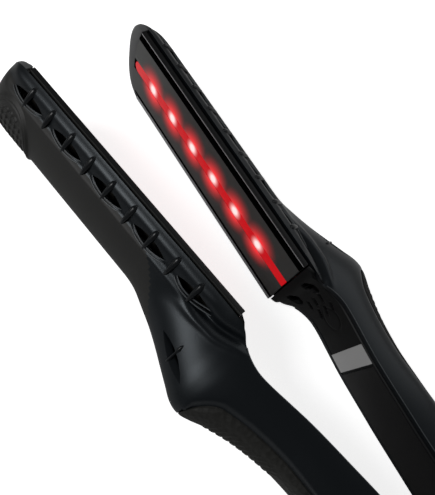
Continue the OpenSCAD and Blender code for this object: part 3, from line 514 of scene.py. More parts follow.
def moulded_plastic(name, base, roughness, grain_mm, relief, dimples=0, specular=0.26, sheen=(1, 1, 1)):
    """Spark-eroded moulding: a fine even grain breaks the gloss up, and the tone drifts very slightly. The
    grain's size and relief and the dimples' pitch are in millimetres, and sheen tints the reflections."""
    material, tree, shader, place = new_material(name)
    grain = add_node(tree, "ShaderNodeTexNoise", {"Vector": place, "Scale": 1/(grain_mm*MM), "Detail": 2})
    cloud = add_node(tree, "ShaderNodeTexNoise", {"Vector": place, "Scale": 1/(CLOUD_SIZE*MM), "Detail": 3})
    tone = add_node(tree, "ShaderNodeMix", {0: cloud.outputs["Fac"]}, data_type="RGBA")
    tone.inputs["A"].default_value = (*[c*(1 - TONE_DRIFT) for c in base], 1)
    tone.inputs["B"].default_value = (*[c*(1 + TONE_DRIFT) for c in base], 1)
    tree.links.new(tone.outputs["Result"], shader.inputs["Base Color"])
    shader.inputs["Specular IOR Level"].default_value = specular
    shader.inputs["Specular Tint"].default_value = (*sheen, 1)
    gloss = add_node(tree, "ShaderNodeMapRange", {"Value": grain.outputs["Fac"],
                                                  "To Min": roughness - GLOSS_DRIFT,
                                                  "To Max": roughness + GLOSS_DRIFT})
    tree.links.new(gloss.outputs["Result"], shader.inputs["Roughness"])
    relief_node = add_node(tree, "ShaderNodeBump", {"Height": grain.outputs["Fac"], "Strength": 0.5,
                                                    "Distance": relief*MM})
    if dimples:
        cells = add_node(tree, "ShaderNodeTexVoronoi", {"Vector": place, "Scale": 1/(dimples*MM)})
        relief_node = add_node(tree, "ShaderNodeBump", {"Height": cells.outputs["Distance"],
                                                        "Strength": 1.0, "Distance": DIMPLE_DEPTH*MM,
                                                        "Normal": relief_node.outputs["Normal"]})
    tree.links.new(relief_node.outputs["Normal"], shader.inputs["Normal"])
    return material


def plain_finish(name, base, roughness, metallic=0.0, specular=0.5):
    """Bare sheet, wire, foil or ceramic: one colour whose gloss varies a little over a few millimetres."""
    material, tree, shader, place = new_material(name)
    wear = add_node(tree, "ShaderNodeTexNoise", {"Vector": place, "Scale": 1/(WEAR_SIZE*MM), "Detail": 3})
    gloss = add_node(tree, "ShaderNodeMapRange", {"Value": wear.outputs["Fac"],
                                                  "To Min": roughness*(1 - WEAR_DRIFT),
                                                  "To Max": roughness*(1 + WEAR_DRIFT)})
    tree.links.new(gloss.outputs["Result"], shader.inputs["Roughness"])
    shader.inputs["Base Color"].default_value = (*base, 1)
    shader.inputs["Metallic"].default_value = metallic
    shader.inputs["Specular IOR Level"].default_value = specular
    return material


def diode_distance(tree, place, s):
    """Distance from the nearest diode in metres: the lower arm's own coordinates, folded at every pitch."""
    turned = add_node(tree, "ShaderNodeMapping", {"Vector": place, "Rotation": (0, 0, s.open_angle/2),
                                                  "Location": (-s.led_first*MM, 0, -s.iron_w/2*MM)})
    split = add_node(tree, "ShaderNodeSeparateXYZ", {0: turned.outputs[0]})
    run = (s.led_count - 1)*s.led_pitch*MM
    clamped = add_node(tree, "ShaderNodeClamp", {"Value": split.outputs["X"], "Min": 0.0, "Max": run})
    folded = add_node(tree, "ShaderNodeMath", {0: clamped.outputs[0], 1: s.led_pitch*MM/2},
                      operation="PINGPONG")
    past = add_node(tree, "ShaderNodeMath", {0: split.outputs["X"], 1: clamped.outputs[0]},
                    operation="SUBTRACT")
    beyond = add_node(tree, "ShaderNodeMath", {0: past.outputs[0]}, operation="ABSOLUTE")
    along = add_node(tree, "ShaderNodeMath", {0: folded.outputs[0], 1: beyond.outputs[0]}, operation="ADD")
    flat = add_node(tree, "ShaderNodeCombineXYZ", {"X": along.outputs[0], "Z": split.outputs["Z"]})
    return add_node(tree, "ShaderNodeVectorMath", {0: flat.outputs[0]}, operation="LENGTH").outputs["Value"]


def fading(tree, distance, near, far, power):
    """1 inside near and 0 past far, both in millimetres, with the share in between raised to a power."""
    share = add_node(tree, "ShaderNodeMapRange", {"Value": distance, "From Min": far*MM,
                                                  "From Max": near*MM})
    raised = add_node(tree, "ShaderNodeMath", {0: share.outputs["Result"], 1: power}, operation="POWER")
    return raised.outputs[0]


def lit_plate(name, base, s):
    """Ceramic coating with a painted red glow of the diodes under the window, in a soft halo round each of
    them.
    """
    material = moulded_plastic(name, base, *PLATE_COATING)
    tree = material.node_tree
    shader = next(node for node in tree.nodes if node.type == "BSDF_PRINCIPLED")
    place = next(node for node in tree.nodes if node.type == "TEX_COORD").outputs["Object"]
    halo = fading(tree, diode_distance(tree, place, s), *HALO)
    shader.inputs["Emission Color"].default_value = (*linear("#d81a22"), 1)
    level = add_node(tree, "ShaderNodeMapRange", {"Value": halo, "To Min": 0.0, "To Max": HALO_LEVEL})
    tree.links.new(level.outputs["Result"], shader.inputs["Emission Strength"])
    return material


def lit_window(name, base, s):
    """Red acrylic over the diodes: even red along the strip, burnt out to white over each diode."""
    material, tree, shader, place = new_material(name)
    distance = diode_distance(tree, place, s)
    shader.inputs["Base Color"].default_value = (*base, 1)
    shader.inputs["Roughness"].default_value = 0.25
    shader.inputs["Specular IOR Level"].default_value = 0.3
    hot = fading(tree, distance, *HOT_SPOT)
    tone = add_node(tree, "ShaderNodeMix", {0: hot}, data_type="RGBA")
    tone.inputs["A"].default_value = (*linear("#e00c18"), 1)
    tone.inputs["B"].default_value = (*HOT_TONE, 1)
    tree.links.new(tone.outputs["Result"], shader.inputs["Emission Color"])
    level = add_node(tree, "ShaderNodeMapRange", {"Value": hot, "To Min": WINDOW_LEVEL[0],
                                                  "To Max": WINDOW_LEVEL[1]})
    tree.links.new(level.outputs["Result"], shader.inputs["Emission Strength"])
    return material


# The finishes by name, which make_materials fills in
MATERIALS = {}


def make_materials(c, s):
    """All finishes of the straightener, by name."""
    MATERIALS.update(
        # Satin plastic of the sides: reflections tinted a little blue, in a broad highlight along the roll
        shell=moulded_plastic("satin_shell_moulding", c.shell, 0.33, 0.35, 0.03, sheen=(0.86, 0.94, 1.0)),
        # Warm matt panel between the vents: reads lighter and flatter than the sides
        back=moulded_plastic("matt_back_moulding", c.back, 0.5, 0.45, 0.04),
        # Ribs are rubbed smoother than the panel, so their crests shine
        rib=moulded_plastic("smooth_rib_moulding", c.shell, 0.3, 0.35, 0.006),
        # Painted highlight: the fine light lines beside the vents and along the handle's rim, a light grey on
        # the lips and beads that stands in for the light their edges catch
        lip=plain_finish("lip_painted_highlight", linear("#3c4043"), 0.4),
        # Nose pieces of fine-textured plastic: the palest of the mouldings, in soft even light
        nose=moulded_plastic("fine_nose_moulding", c.nose, 0.45, 0.4, 0.01),
        # Inner covers of near-black plastic: they fall back behind the plates
        cover=moulded_plastic("fine_cover_moulding", c.cover, 0.5, 0.4, 0.015),
        # Soft-touch insert: dull, with a pattern of shallow dimples
        grip=moulded_plastic("dimpled_grip_rubber", c.grip, 0.65, 0.3, 0.02, dimples=1.7),
        # Ceramic coating of the plates: a grey satin with almost no grain
        plate=moulded_plastic("ceramic_plate_coating", c.plate, *PLATE_COATING),
        # The same coating round the light: the diodes' red is painted on it in soft pools of glow
        plate_lit=lit_plate("ceramic_plate_painted_red_glow", c.plate, s),
        # Sides of the plates, as dark as the covers: they set the faces off from the shells
        plate_side=moulded_plastic("plate_side_coating", c.cover, 0.4, 0.3, 0.004),
        # Painted shade: a near-black without gloss in the depth of a groove or recess, where no light comes
        # back
        gap=plain_finish("groove_painted_shade", linear("#030303"), 0.9, specular=0.0),
        # Painted highlight: a pale grey on the rail beside the groove, for the thin bright line that the
        # plate's polished edge catches
        rail=plain_finish("rail_painted_highlight", linear("#a2a2a4"), 0.3),
        # Red acrylic over the diodes: it glows along its whole length
        window=lit_window("red_light_window", c.window, s),
        # Drawn steel of pins, springs and clip: a bright metal whose gloss comes and goes
        steel=plain_finish("drawn_steel", c.steel, 0.32, 1.0),
        # Zinc-plated sheet: a greyer, duller metal than the pins
        chassis=plain_finish("zinc_plated_sheet", linear("#6f7274"), 0.4, 1.0),
        # Blackened screws: a dark glint at the bottom of their recesses
        black_steel=plain_finish("blackened_steel", linear("#2b2b2c"), 0.35, 1.0),
        # Sintered bronze of the bush: a soft yellow-brown metal
        bronze=plain_finish("sintered_bronze", linear("#a97f45"), 0.45, 1.0),
        # Heat-proof plastic of the carriers: dull, with a brown cast, and nearly black, which partly paints
        # the shade inside the shells seen through the vents
        carrier=moulded_plastic("heat_proof_moulding", linear("#1a1815"), 0.6, 0.4, 0.02),
        # Fired ceramic of the heaters: unglazed and off-white
        ceramic=plain_finish("fired_ceramic", linear("#d5d0c2"), 0.6),
        # Silicone sleeves of the wires: a brick red that is neither dull nor glossy
        wire=plain_finish("silicone_wire", linear("#9c2a20"), 0.5),
        # Solder resist of the control board: green and smooth
        board=plain_finish("solder_resist", linear("#1f5535"), 0.35),
        # Solder resist under the diodes: white, to throw their light out
        led_board=plain_finish("white_solder_resist", linear("#cfcfc6"), 0.4),
        # Glass bead of the thermistor: amber and glossy
        bead=plain_finish("glass_bead", linear("#8a5a22"), 0.1),
        # Smoked acrylic over the display: near black, with sharp reflections
        lens=plain_finish("smoked_lens", linear("#0b0c0f"), 0.08),
        # Buttons of fine-textured plastic: a step lighter than the shell round them
        button=moulded_plastic("button_moulding", linear("#3a3b3d"), 0.4, 0.3, 0.008),
        # Foil label without print: pale, with a soft metal shine
        foil=plain_finish("silver_foil_label", linear("#bcbcbc"), 0.38, 0.15),
        # Film label without print: near black and faintly glossy
        film=plain_finish("black_film_label", linear("#141415"), 0.35),
        # Moulded rubber of the cord's gland: dull and dark grey
        gland=moulded_plastic("gland_rubber", linear("#202123"), 0.6, 0.3, 0.02))


# Finish of the CAD nodes that keep their shape; those not named here are steel
CAD_FINISH = {
    "shell": ["hinge_yoke", "hinge_knuckle"],
    "cover": ["upper_inner_cover", "hinge_caps"],
    "chassis": ["upper_chassis", "lower_chassis"],
    "black_steel": ["upper_cover_screws", "lower_cover_screws"],
    "bronze": ["hinge_bush"],
    "carrier": ["upper_plate_carrier", "lower_plate_carrier"],
    "ceramic": ["upper_heater", "lower_heater"],
    "wire": ["upper_wire_harness", "lower_wire_harness"],
    "board": ["control_board"],
    "led_board": ["light_board"],
    "bead": ["thermistor"],
    "lens": ["display_window"],
    "button": ["power_button", "minus_button", "plus_button"],
    "foil": ["serial_label"],
    "film": ["rating_label"],
    "gland": ["swivel_gland"],
}


class StraightenerPiece:
    """What all operators here share."""

    bl_options = {"REGISTER", "UNDO"}

    @property
    def sizes(self):
        return millimetres(bpy.context.scene.straightener_sizes)


class STRAIGHTENER_OT_finishes(StraightenerPiece, bpy.types.Operator):
    """Makes the materials and gives them to the CAD pieces that keep their shape"""

    bl_idname = "straightener.finishes"
    bl_label = "Finishes"

    def execute(self, context):
        make_materials(context.scene.straightener_colours, self.sizes)
        for name, node in frame["nodes"].items():
            finish = next((key for key, names in CAD_FINISH.items() if name in names), "steel")
            for slot in node.material_slots:
                slot.link = "OBJECT"
                slot.material = MATERIALS[finish]
        return {"FINISHED"}


def leaf_half(share):
    """Half width of a leaf at a share of its half length, as a share of its widest: one less the square of
    that share, to the power 0.85."""
    return np.clip(1 - share**2, 0, 1)**0.85


def vent_places(s):
    """Centres of the vents along the barrel: one at every second rib."""
    return s.rib_first + s.rib_pitch*np.arange(0, s.rib_count, 2)


def vent_cutters(s):
    """Leaf-shaped prisms square to the skin at each vent's centre, from 4 mm inside it to 3 mm outside."""
    share = np.linspace(-1, 1, 25)
    width = leaf_half(share)*s.vent_w/2
    outline = np.concatenate([np.stack([share, width], 1), np.stack([share, -width], 1)[-2:0:-1]])
    tilt = barrel_normal(s, s.vent_z)
    tubes = []
    for x in vent_places(s):
        for side in (-1, 1):
            out = np.array([0, math.cos(tilt), side*math.sin(tilt)])
            along = np.array([0, -math.sin(tilt), side*math.cos(tilt)])
            centre = np.array([x, barrel_y(s, x, s.vent_z), side*s.vent_z])
            flat = centre + outline[:, :1]*s.vent_len/2*np.array([1, 0, 0]) + outline[:, 1:]*along
            tubes.append(np.stack([flat - 4*out, flat + 3*out]))
    return tubes


# Slots in the hump: middle along x, length, width, distance off the centre plane, and the cutters' heights
HUMP_SLOTS = {"x": 167.2, "length": 16, "width": 2.5, "z": 5.9, "floor": 17.8, "top": 36}


def slot_cutters():
    """Upright prisms for the two slots in the hump's front slope, whose outline is two parabolas."""
    share = np.linspace(-1, 1, 25)
    width = (1 - share**2)*HUMP_SLOTS["width"]/2
    x = HUMP_SLOTS["x"] + np.concatenate([share, share[-2:0:-1]])*HUMP_SLOTS["length"]/2
    z = np.concatenate([width, -width[-2:0:-1]])
    return [np.stack([np.stack([x, np.full_like(x, y), side*HUMP_SLOTS["z"] + z], 1)
                      for y in (HUMP_SLOTS["floor"], HUMP_SLOTS["top"])]) for side in (-1, 1)]


# Rows of the shells as (start, step), columns from rim to rim, and rows of the nose
SHELL_ROWS = [(13, 2.5), (95, 1.0), (140, 0.7), (172, 1.4)]
SHELL_COLUMNS = 161
NOSE_ROWS = 40
# Matt panel on the barrel's back: where it starts, its half width and the stretch over which it opens, and
# how much wider it gets towards the nose, over the last stretch
PANEL_START = 176
PANEL_HALF = 13.4
PANEL_OPENS = (176, 200)
PANEL_FLARE = 1.2
PANEL_FLARES = (262, 276)


class STRAIGHTENER_OT_shells(StraightenerPiece, bpy.types.Operator):
    """Makes the two outer shells with their vents and hump slots"""

    bl_idname = "straightener.shells"
    bl_label = "Shells"

    def execute(self, context):
        s = self.sizes
        nose = s.nose_start + s.nose_len*np.sin(np.linspace(0, math.pi/2, NOSE_ROWS))
        along = np.concatenate([row_places(SHELL_ROWS, s.nose_start), nose])
        # Just short of the nose's end, where the section would shrink to a line
        along[-1] -= 1e-3
        angle = np.radians(np.linspace(-90, 90, SHELL_COLUMNS))
        outer = shell_surface(s, along, angle, 0)
        inner = shell_surface(s, along, angle, s.wall)
        rows, cols = outer.shape[:2]
        points = np.concatenate([outer.reshape(-1, 3), inner.reshape(-1, 3)])
        top = np.arange(rows*cols).reshape(rows, cols)
        low = top + rows*cols
        quads = np.concatenate([
            grid_quads(rows, cols), grid_quads(rows, cols, rows*cols)[:, ::-1],
            strip_quads(low[:, 0], top[:, 0]), strip_quads(top[:, -1], low[:, -1]),
            strip_quads(top[0], low[0]),
            [[top[-1, 0], top[-1, -1], low[-1, -1], low[-1, 0]]]])
        faces = quads.tolist() + [top[-1].tolist(), low[-1, ::-1].tolist()]
        x, y, z = points[quads].mean(axis=1).T
        edge = PANEL_HALF*ramp(*PANEL_OPENS, x) + PANEL_FLARE*ramp(*PANEL_FLARES, x)
        on_back = (np.abs(z) < edge) & (y > s.rim_h + 2) & (x > PANEL_START)
        index = np.concatenate([on_back, [False, False]])
        cut_points, cut_faces = join_tubes(vent_cutters(s) + slot_cutters())
        for arm in ARMS:
            piece = new_piece(f"{arm}_shell_moulding", to_world(points, arm, s), faces,
                              [MATERIALS["shell"], MATERIALS["back"]], f"{arm}_arm",
                              replaces=[f"{arm}_shell"], index=index)
            carve(piece, to_world(cut_points, arm, s), cut_faces)
        return {"FINISHED"}


# A rib's bold end off the centre plane, how far it runs inwards from there, the share of its radius that it
# loses on the way, and the power with which it sinks
RIB_FOOT = 18.0
RIB_RUN = 5.6
RIB_THINNING = 0.62
RIB_SINK = 0.55
# Lips beside a vent: how far outside its edge they run, and their radius
LIP_PLACES = (0.3, 1.0)
LIP_RADIUS = 0.24
# Bead along the handle's rim: its two ends along x, how high over the rim and how far inside the side it
# lies, and its radius
BEAD_ENDS = (40, 154)
BEAD_HEIGHT = 0.15
BEAD_INSIDE = 0.05
BEAD_RADIUS = 0.16
# Bar over a hump slot: its inner end from the slot's middle, its run across, its radius, its nub as (share of
# the way, size, width), its height over the skin at the inner end, how far it falls from there, and the
# direction in which the slope faces
BAR_INNER = -2.0
BAR_RUN = 5.2
BAR_RADIUS = 0.38
BAR_NUB = (0.8, 0.3, 0.13)
BAR_HEIGHT = 0.15
BAR_FALL = 0.35
BAR_NORMAL = (0.55, 0.83, 0)


def rib_tube(s, x, side):
    """A rib: a tube over the shoulder from a bold round end near the rim to a faint one on the back. Its
    radius falls with the share of the way, to the power 0.8, and its height with the share that is left."""
    share = (1 - np.cos(np.linspace(0, math.pi, 25)))/2
    z = RIB_FOOT - RIB_RUN*share
    out = outward(s, z, side)
    ends = (1 - np.abs(2*share - 1)**5)**0.5
    radius = s.rib_r*(1 - RIB_THINNING*share**0.8)*ends
    proud = s.rib_proud*(1 - share)**RIB_SINK*(0.35 + 0.65*ends)
    path = np.stack([np.full_like(z, x), barrel_y(s, x, z), side*z], axis=1) + out*(proud - radius)[:, None]
    return tube(path, np.maximum(radius, 0.02), out, sides=20)


def lip_tube(s, x, side, offset):
    """A fine raised line that follows a vent's edge, at an offset towards the back."""
    share = np.linspace(-0.96, 0.96, 33)
    z = s.vent_z - (leaf_half(share)*s.vent_w/2 + offset)*np.cos(barrel_normal(s, s.vent_z))
    x_run = x + share*s.vent_len/2*(1 + offset/8)
    relief = skin_relief(s, x_run, barrel_y(s, x_run, z), z)
    path = np.stack([x_run, barrel_y(s, x_run, z) + relief, side*z], axis=1)
    return tube(path, LIP_RADIUS*(1 - share**8) + 0.03, outward(s, z, side), sides=8)


def rim_bead(side):
    """A fine bead along the handle's rim, from behind the hump towards the hinge."""
    x = np.linspace(*BEAD_ENDS, 80)
    path = np.stack([x, curve(RIM, x) + BEAD_HEIGHT, side*(curve(SIDE, x) - BEAD_INSIDE)], axis=1)
    return tube(path, np.full_like(x, BEAD_RADIUS), np.tile([0.0, 0.0, float(side)], (len(x), 1)), sides=8)


def slot_bar(side):
    """The fine bar over a hump slot: a thin tube on the skin, round at both ends, with a nub near the outer
    one."""
    share = np.linspace(0, 1, 21)
    z = HUMP_SLOTS["z"] + BAR_INNER + BAR_RUN*share
    x = np.full_like(z, HUMP_SLOTS["x"])
    ends = np.sqrt(np.clip(1 - np.abs(2*share - 1)**8, 0.002, 1))
    radius = (BAR_RADIUS + bump(share, *BAR_NUB))*ends
    path = np.stack([x, handle_y(x, z) + BAR_HEIGHT - BAR_FALL*share, side*z], axis=1)
    return tube(path, radius, np.tile(BAR_NORMAL, (len(z), 1)), sides=14)


class STRAIGHTENER_OT_ribs(StraightenerPiece, bpy.types.Operator):
    """Makes the cooling ribs with the bars over the hump slots, and the vents' lips with the rim's beads"""

    bl_idname = "straightener.ribs"
    bl_label = "Ribs"

    def execute(self, context):
        s = self.sizes
        ribs = [rib_tube(s, s.rib_first + i*s.rib_pitch, side)
                for i in range(s.rib_count) for side in (-1, 1)]
        lips = [lip_tube(s, x, side, offset)
                for x in vent_places(s) for side in (-1, 1) for offset in LIP_PLACES]
        bars = [slot_bar(side) for side in (-1, 1)]
        beads = [rim_bead(side) for side in (-1, 1)]
        rib_mesh = join_tubes(ribs + bars)
        # The lips and beads take a light grey that paints the highlight along their edges
        lip_mesh = join_tubes(lips + beads)
        for arm in ARMS:
            for name, finish, (points, faces) in (("cooling_ribs", "rib", rib_mesh),
                                                  ("lips_painted_highlight", "lip", lip_mesh)):
                new_piece(f"{arm}_{name}", to_world(points, arm, s), faces, [MATERIALS[finish]],
                          f"{arm}_arm", smooth=60)
        return {"FINISHED"}


# The oval's rims as (share of its half axes, height, width as a share), how far it stands out of the skin,
# how much lower its ground and its edge lie, how far it reaches below the skin, and its quilting's pitch
# and height
OVAL_RIMS = [(1, 0.7, 0.035), (0.87, 0.5, 0.025)]
OVAL_LIFT = 0.06
OVAL_SINK = 0.2
OVAL_WALL = 0.9
QUILT_PITCH = 5.2
QUILT_HEIGHT = 0.6


class STRAIGHTENER_OT_emblem(StraightenerPiece, bpy.types.Operator):
    """Makes the oval on the upper arm's nose, with a plain quilted field in place of any mark"""

    bl_idname = "straightener.emblem"
    bl_label = "Emblem"

    def execute(self, context):
        s = self.sizes
        share = np.linspace(0.001, 1.1, 100)
        turn = np.linspace(0, 2*math.pi, 193)
        rho, phi = np.meshgrid(share, turn, indexing="ij")
        x = s.emblem_x + s.emblem_half_len*rho*np.cos(phi)
        z = s.emblem_half_w*rho*np.sin(phi)
        rims = sum(bump(rho, *rim) for rim in OVAL_RIMS)
        lattice = np.cos(2*math.pi*(x + z)/QUILT_PITCH)*np.cos(2*math.pi*(x - z)/QUILT_PITCH)
        field = QUILT_HEIGHT*ramp(-0.2, 0.35, lattice)*(1 - ramp(0.7, 0.78, rho))
        ground = OVAL_SINK*(1 - ramp(0.84, 0.9, rho))
        relief = rims + field - ground + OVAL_LIFT - OVAL_SINK*ramp(1.03, 1.1, rho)
        y = barrel_y(s, x, z) + skin_relief(s, x, np.full_like(x, 10), z)
        points = double_sheet(x, y + relief, z, y - OVAL_WALL)
        piece = new_piece("upper_nose_oval", to_world(points, "upper", s), slab_faces(*rho.shape),
                          [MATERIALS["back"]], "upper_arm")
        work = bmesh.new()
        work.from_mesh(piece.data)
        bmesh.ops.remove_doubles(work, verts=work.verts, dist=1e-6)
        work.to_mesh(piece.data)
        work.free()
        return {"FINISHED"}


# The soft insert's slanting ridges: where its rows get finer for them, their pitch along x, slant and height,
# and where they fade in and out; and how far the insert reaches below the skin
FINE_ROWS = 112
RIDGE_PITCH = 2.3
RIDGE_SLANT = 0.55
RIDGE_HEIGHT = 0.3
RIDGES_IN = (119, 123)
RIDGES_OUT = (143, 146)
GRIP_WALL = 0.6


class STRAIGHTENER_OT_grips(StraightenerPiece, bpy.types.Operator):
    """Makes the soft inserts on the handles' backs, with slanting ridges at their front ends"""

    bl_idname = "straightener.grips"
    bl_label = "Grips"

    def execute(self, context):
        s = self.sizes
        reach = s.grip_w/2
        ends = np.linspace(0, math.pi/2, 30)
        straight = row_places([(s.grip_rear + reach, 2), (FINE_ROWS, 0.3)], s.grip_front - reach)
        along = np.concatenate([s.grip_rear + reach*(1 - np.cos(ends)), straight[1:],
                                s.grip_front - reach + reach*np.sin(ends)])
        across = np.sin(np.linspace(-math.pi/2, math.pi/2, 61))
        x, w = np.meshgrid(along, across, indexing="ij")
        middle, half = grip_axis(s)
        over = np.maximum(np.abs(x - middle) - half, 0)
        width = np.sqrt(np.maximum(reach**2 - over**2, 0)) + 0.02
        z = w*width
        depth = grip_depth(s, x, z)
        ridge = ramp(-0.3, 0.5, np.cos(2*math.pi*(x + RIDGE_SLANT*np.abs(z))/RIDGE_PITCH))
        run = ramp(*RIDGES_IN, x)*(1 - ramp(*RIDGES_OUT, x))
        zone = run*ramp(0.8, 1.6, depth)*(1 - ramp(4.5, 5.5, np.abs(z)))
        soft_edge = (0.15 + 0.7*ramp(*GROOVE_WIDENS, np.abs(z)))*(1 - ramp(0, 1.0, depth))
        y = handle_y(x, z) + 0.05 - soft_edge + RIDGE_HEIGHT*ridge*zone
        points = double_sheet(x, y, z, np.minimum(y, handle_y(x, z)) - GRIP_WALL)
        for arm in ARMS:
            new_piece(f"{arm}_soft_grip", to_world(points, arm, s), slab_faces(*x.shape),
                      [MATERIALS["grip"]], f"{arm}_arm", replaces=[f"{arm}_grip_insert"])
        return {"FINISHED"}


def plate_front(s, z):
    """Front end of the plate: a circle's arc through its two corners and its crown."""
    half = s.plate_w/2
    radius = (half**2 + s.plate_crown**2)/(2*s.plate_crown)
    return s.plate_end + s.plate_crown - radius + np.sqrt(np.maximum(radius**2 - z**2, 0))


# How far round the nose its piece reaches on each side, in degrees, and its gap to the plate
NOSE_SWEEP = 81
PLATE_GAP = 0.4


class STRAIGHTENER_OT_bezels(StraightenerPiece, bpy.types.Operator):
    """Makes the nose pieces in front of the plates"""

    bl_idname = "straightener.bezels"
    bl_label = "Nose bezels"

    def execute(self, context):
        s = self.sizes
        turn = math.radians(NOSE_SWEEP)*np.sin(np.linspace(-math.pi/2, math.pi/2, 121))
        u = np.cos(turn)**(2/NOSE_PLAN[0])
        outer = np.stack([s.nose_start + u*s.nose_len, np.sign(turn)*s.iron_w/2*nose_width(u)], axis=1)
        z_in = outer[:, 1]*(s.plate_w/2 - 0.1)/(s.iron_w/2)
        inner = np.stack([np.minimum(plate_front(s, z_in) + PLATE_GAP, outer[:, 0] - 0.15), z_in], axis=1)
        way = outer - inner
        room = np.linalg.norm(way, axis=1, keepdims=True)
        way = way/room
        top = s.rim_h - 0.15
        # Section of the piece as (edge, way from it towards the other edge, height)
        steps = [(inner, 0, top), (inner, 0, 0.95), (inner, 0.12, 0.72), (inner, 0.3, 0.65),
                 (outer, 2.4, 0.65), (outer, 1.5, 0.78), (outer, 0.8, 1.1), (outer, 0.35, 1.6),
                 (outer, 0.12, 2.3), (outer, 0.05, top)]
        loops = []
        for start, inset, y in steps:
            sign = 1 if start is inner else -1
            flat = start + sign*way*np.minimum(inset, 0.46*room)
            loops.append(np.stack([flat[:, 0], np.full(len(flat), y), flat[:, 1]], axis=1))
        rings = np.stack(loops, axis=1)
        points, faces = join_tubes([rings])
        for arm in ARMS:
            new_piece(f"{arm}_nose_piece", to_world(points, arm, s), faces, [MATERIALS["nose"]],
                      f"{arm}_arm", replaces=[f"{arm}_nose_bezel"])
        return {"FINISHED"}


# How much further back the upper plate reaches, to close the slit before the inner cover
PLATE_TUCK = 0.35
# Width of the rounded ends of a plate as a share of its length, and their depth
END_SHARE = 0.002
END_DEPTH = 0.25


def plate_profile(s, slot):
    """Columns across the plate as (z, drop below the face, finish number), from its middle to its edge. The
    finishes are the face's, a groove's, the rail's and the side's, in this order."""
    half = s.plate_w/2
    middle = [(0, 0, 0)]
    if slot:
        edge = s.window_w/2 + 0.04
        middle = [(0, 1.2, 1), (edge, 1.2, 1), (edge + 0.02, 0.04, 0), (edge + 0.1, 0, 0)]
    flat = [(z, 0, 0) for z in np.arange(5, half - 3.4, 1.0)]
    return middle + flat + [(half - 3.1, 0, 1), (half - 2.85, 0.35, 1), (half - 2.75, 0.8, 1),
                            (half - 0.95, 0.8, 1), (half - 0.85, 0.2, 2), (half - 0.7, 0.06, 2),
                            (half - 0.3, 0.06, 2), (half - 0.08, 0.25, 3), (half, 0.6, 3)]


class STRAIGHTENER_OT_plates(StraightenerPiece, bpy.types.Operator):
    """Makes the heated plates with a groove and a rail along each long edge, the rail in a pale grey that
    paints its highlight
    """

    bl_idname = "straightener.plates"
    bl_label = "Heated plates"

    def execute(self, context):
        s = self.sizes
        # Rows lie closest at the slot's front end and at the plate's two rounded ends
        share = np.concatenate([[0, END_SHARE], np.linspace(0.01, 0.985, 90),
                                [0.9895, 0.9905, 0.994, 0.998, 1]])
        for arm in ARMS:
            slot = arm == "lower"
            rear = s.plate_start if slot else s.plate_start - PLATE_TUCK
            right = plate_profile(s, slot)
            left = [(-z, drop, finish) for z, drop, finish in right[:0:-1]]
            columns = left + right
            z = np.array([c[0] for c in columns], float)
            drop = np.array([c[1] for c in columns])
            finish = [c[2] for c in columns]
            v, zz = np.meshgrid(share, z, indexing="ij")
            x = rear + v*(plate_front(s, zz) - rear)
            fall = np.tile(drop, (len(share), 1))
            in_slot = (np.abs(zz) < s.window_w/2 + 0.4) if slot else np.zeros_like(zz, bool)
            fall = np.where(in_slot & (x > s.plate_end + s.plate_crown - 1), 0, fall)
            ends = END_DEPTH*(ramp(1 - END_SHARE, 1, v) + 1 - ramp(0, END_SHARE, v))
            y = s.plate_face + np.maximum(fall, ends)
            points = double_sheet(x, y, zz, np.full_like(x, s.plate_face + s.plate_t))
            faces = slab_faces(len(share), len(z))
            # Groove columns take the near-black finish of painted shade
            # Each column of faces takes the higher finish number of its two edges
            column = [max(pair) for pair in zip(finish[:-1], finish[1:])]
            index = np.zeros(len(faces), int)
            cells = (len(share) - 1)*(len(z) - 1)
            index[:cells] = np.tile(column, len(share) - 1)
            index[2*cells:2*cells + 2*(len(share) - 1)] = 3
            # The rail's pale grey is a painted highlight along the plate's edge
            new_piece(f"{arm}_hot_plate", to_world(points, arm, s), faces,
                      [MATERIALS["plate_lit" if slot else "plate"], MATERIALS["gap"], MATERIALS["rail"],
                       MATERIALS["plate_side"]],
                      f"{arm}_plate", replaces=[f"{arm}_heated_plate"], index=index)
        return {"FINISHED"}


# How far behind the plate's face the window's inner side lies
WINDOW_DEPTH = 1.15


class STRAIGHTENER_OT_window(StraightenerPiece, bpy.types.Operator):
    """Makes the red light window in the lower plate"""

    bl_idname = "straightener.window"
    bl_label = "Light window"

    def execute(self, context):
        s = self.sizes
        half = s.window_w/2
        x_end = s.plate_end + s.plate_crown - 1.2
        round_off = np.linspace(0, math.pi/2, 10)
        along = np.concatenate([[s.plate_start + 0.2], np.linspace(s.plate_start + 2, x_end - half, 60),
                                x_end - half + half*np.sin(round_off)[1:]])
        across = np.sin(np.linspace(-math.pi/2, math.pi/2, 21))
        x, w = np.meshgrid(along, across, indexing="ij")
        over = np.maximum(x - (x_end - half), 0)
        z = w*(np.sqrt(np.maximum(half**2 - over**2, 0)) + 0.02)
        y = s.plate_face + 0.04 + 0.05*np.abs(w)**3
        points = double_sheet(x, y, z, np.full_like(x, s.plate_face + WINDOW_DEPTH))
        new_piece("red_light_window", to_world(points, "lower", s), slab_faces(*x.shape),
                  [MATERIALS["window"]], "lower_plate", replaces=["light_window"])
        return {"FINISHED"}


# Height of the inner cover's face above the plates' plane, and its half width, as (x, value)
COVER = [(13, 1.9), (60, 2.4), (98, 3.64), (110, 4.34), (120, 4.97), (127, 5.61), (134, 6.54),
         (142, 7.58), (147, 7.7), (152, 6.5), (156.5, 4.55), (160, 1.85), (163, 0.8)]
COVER_HALF = [(16, 13.6), (30, 12.7), (50, 11.7), (75, 11.3), (100, 11.2), (140, 11.1), (150, 11.6),
              (153, 12.3), (156, 13.8), (159, 15.4), (160, 17.6), (162.6, 18.2)]
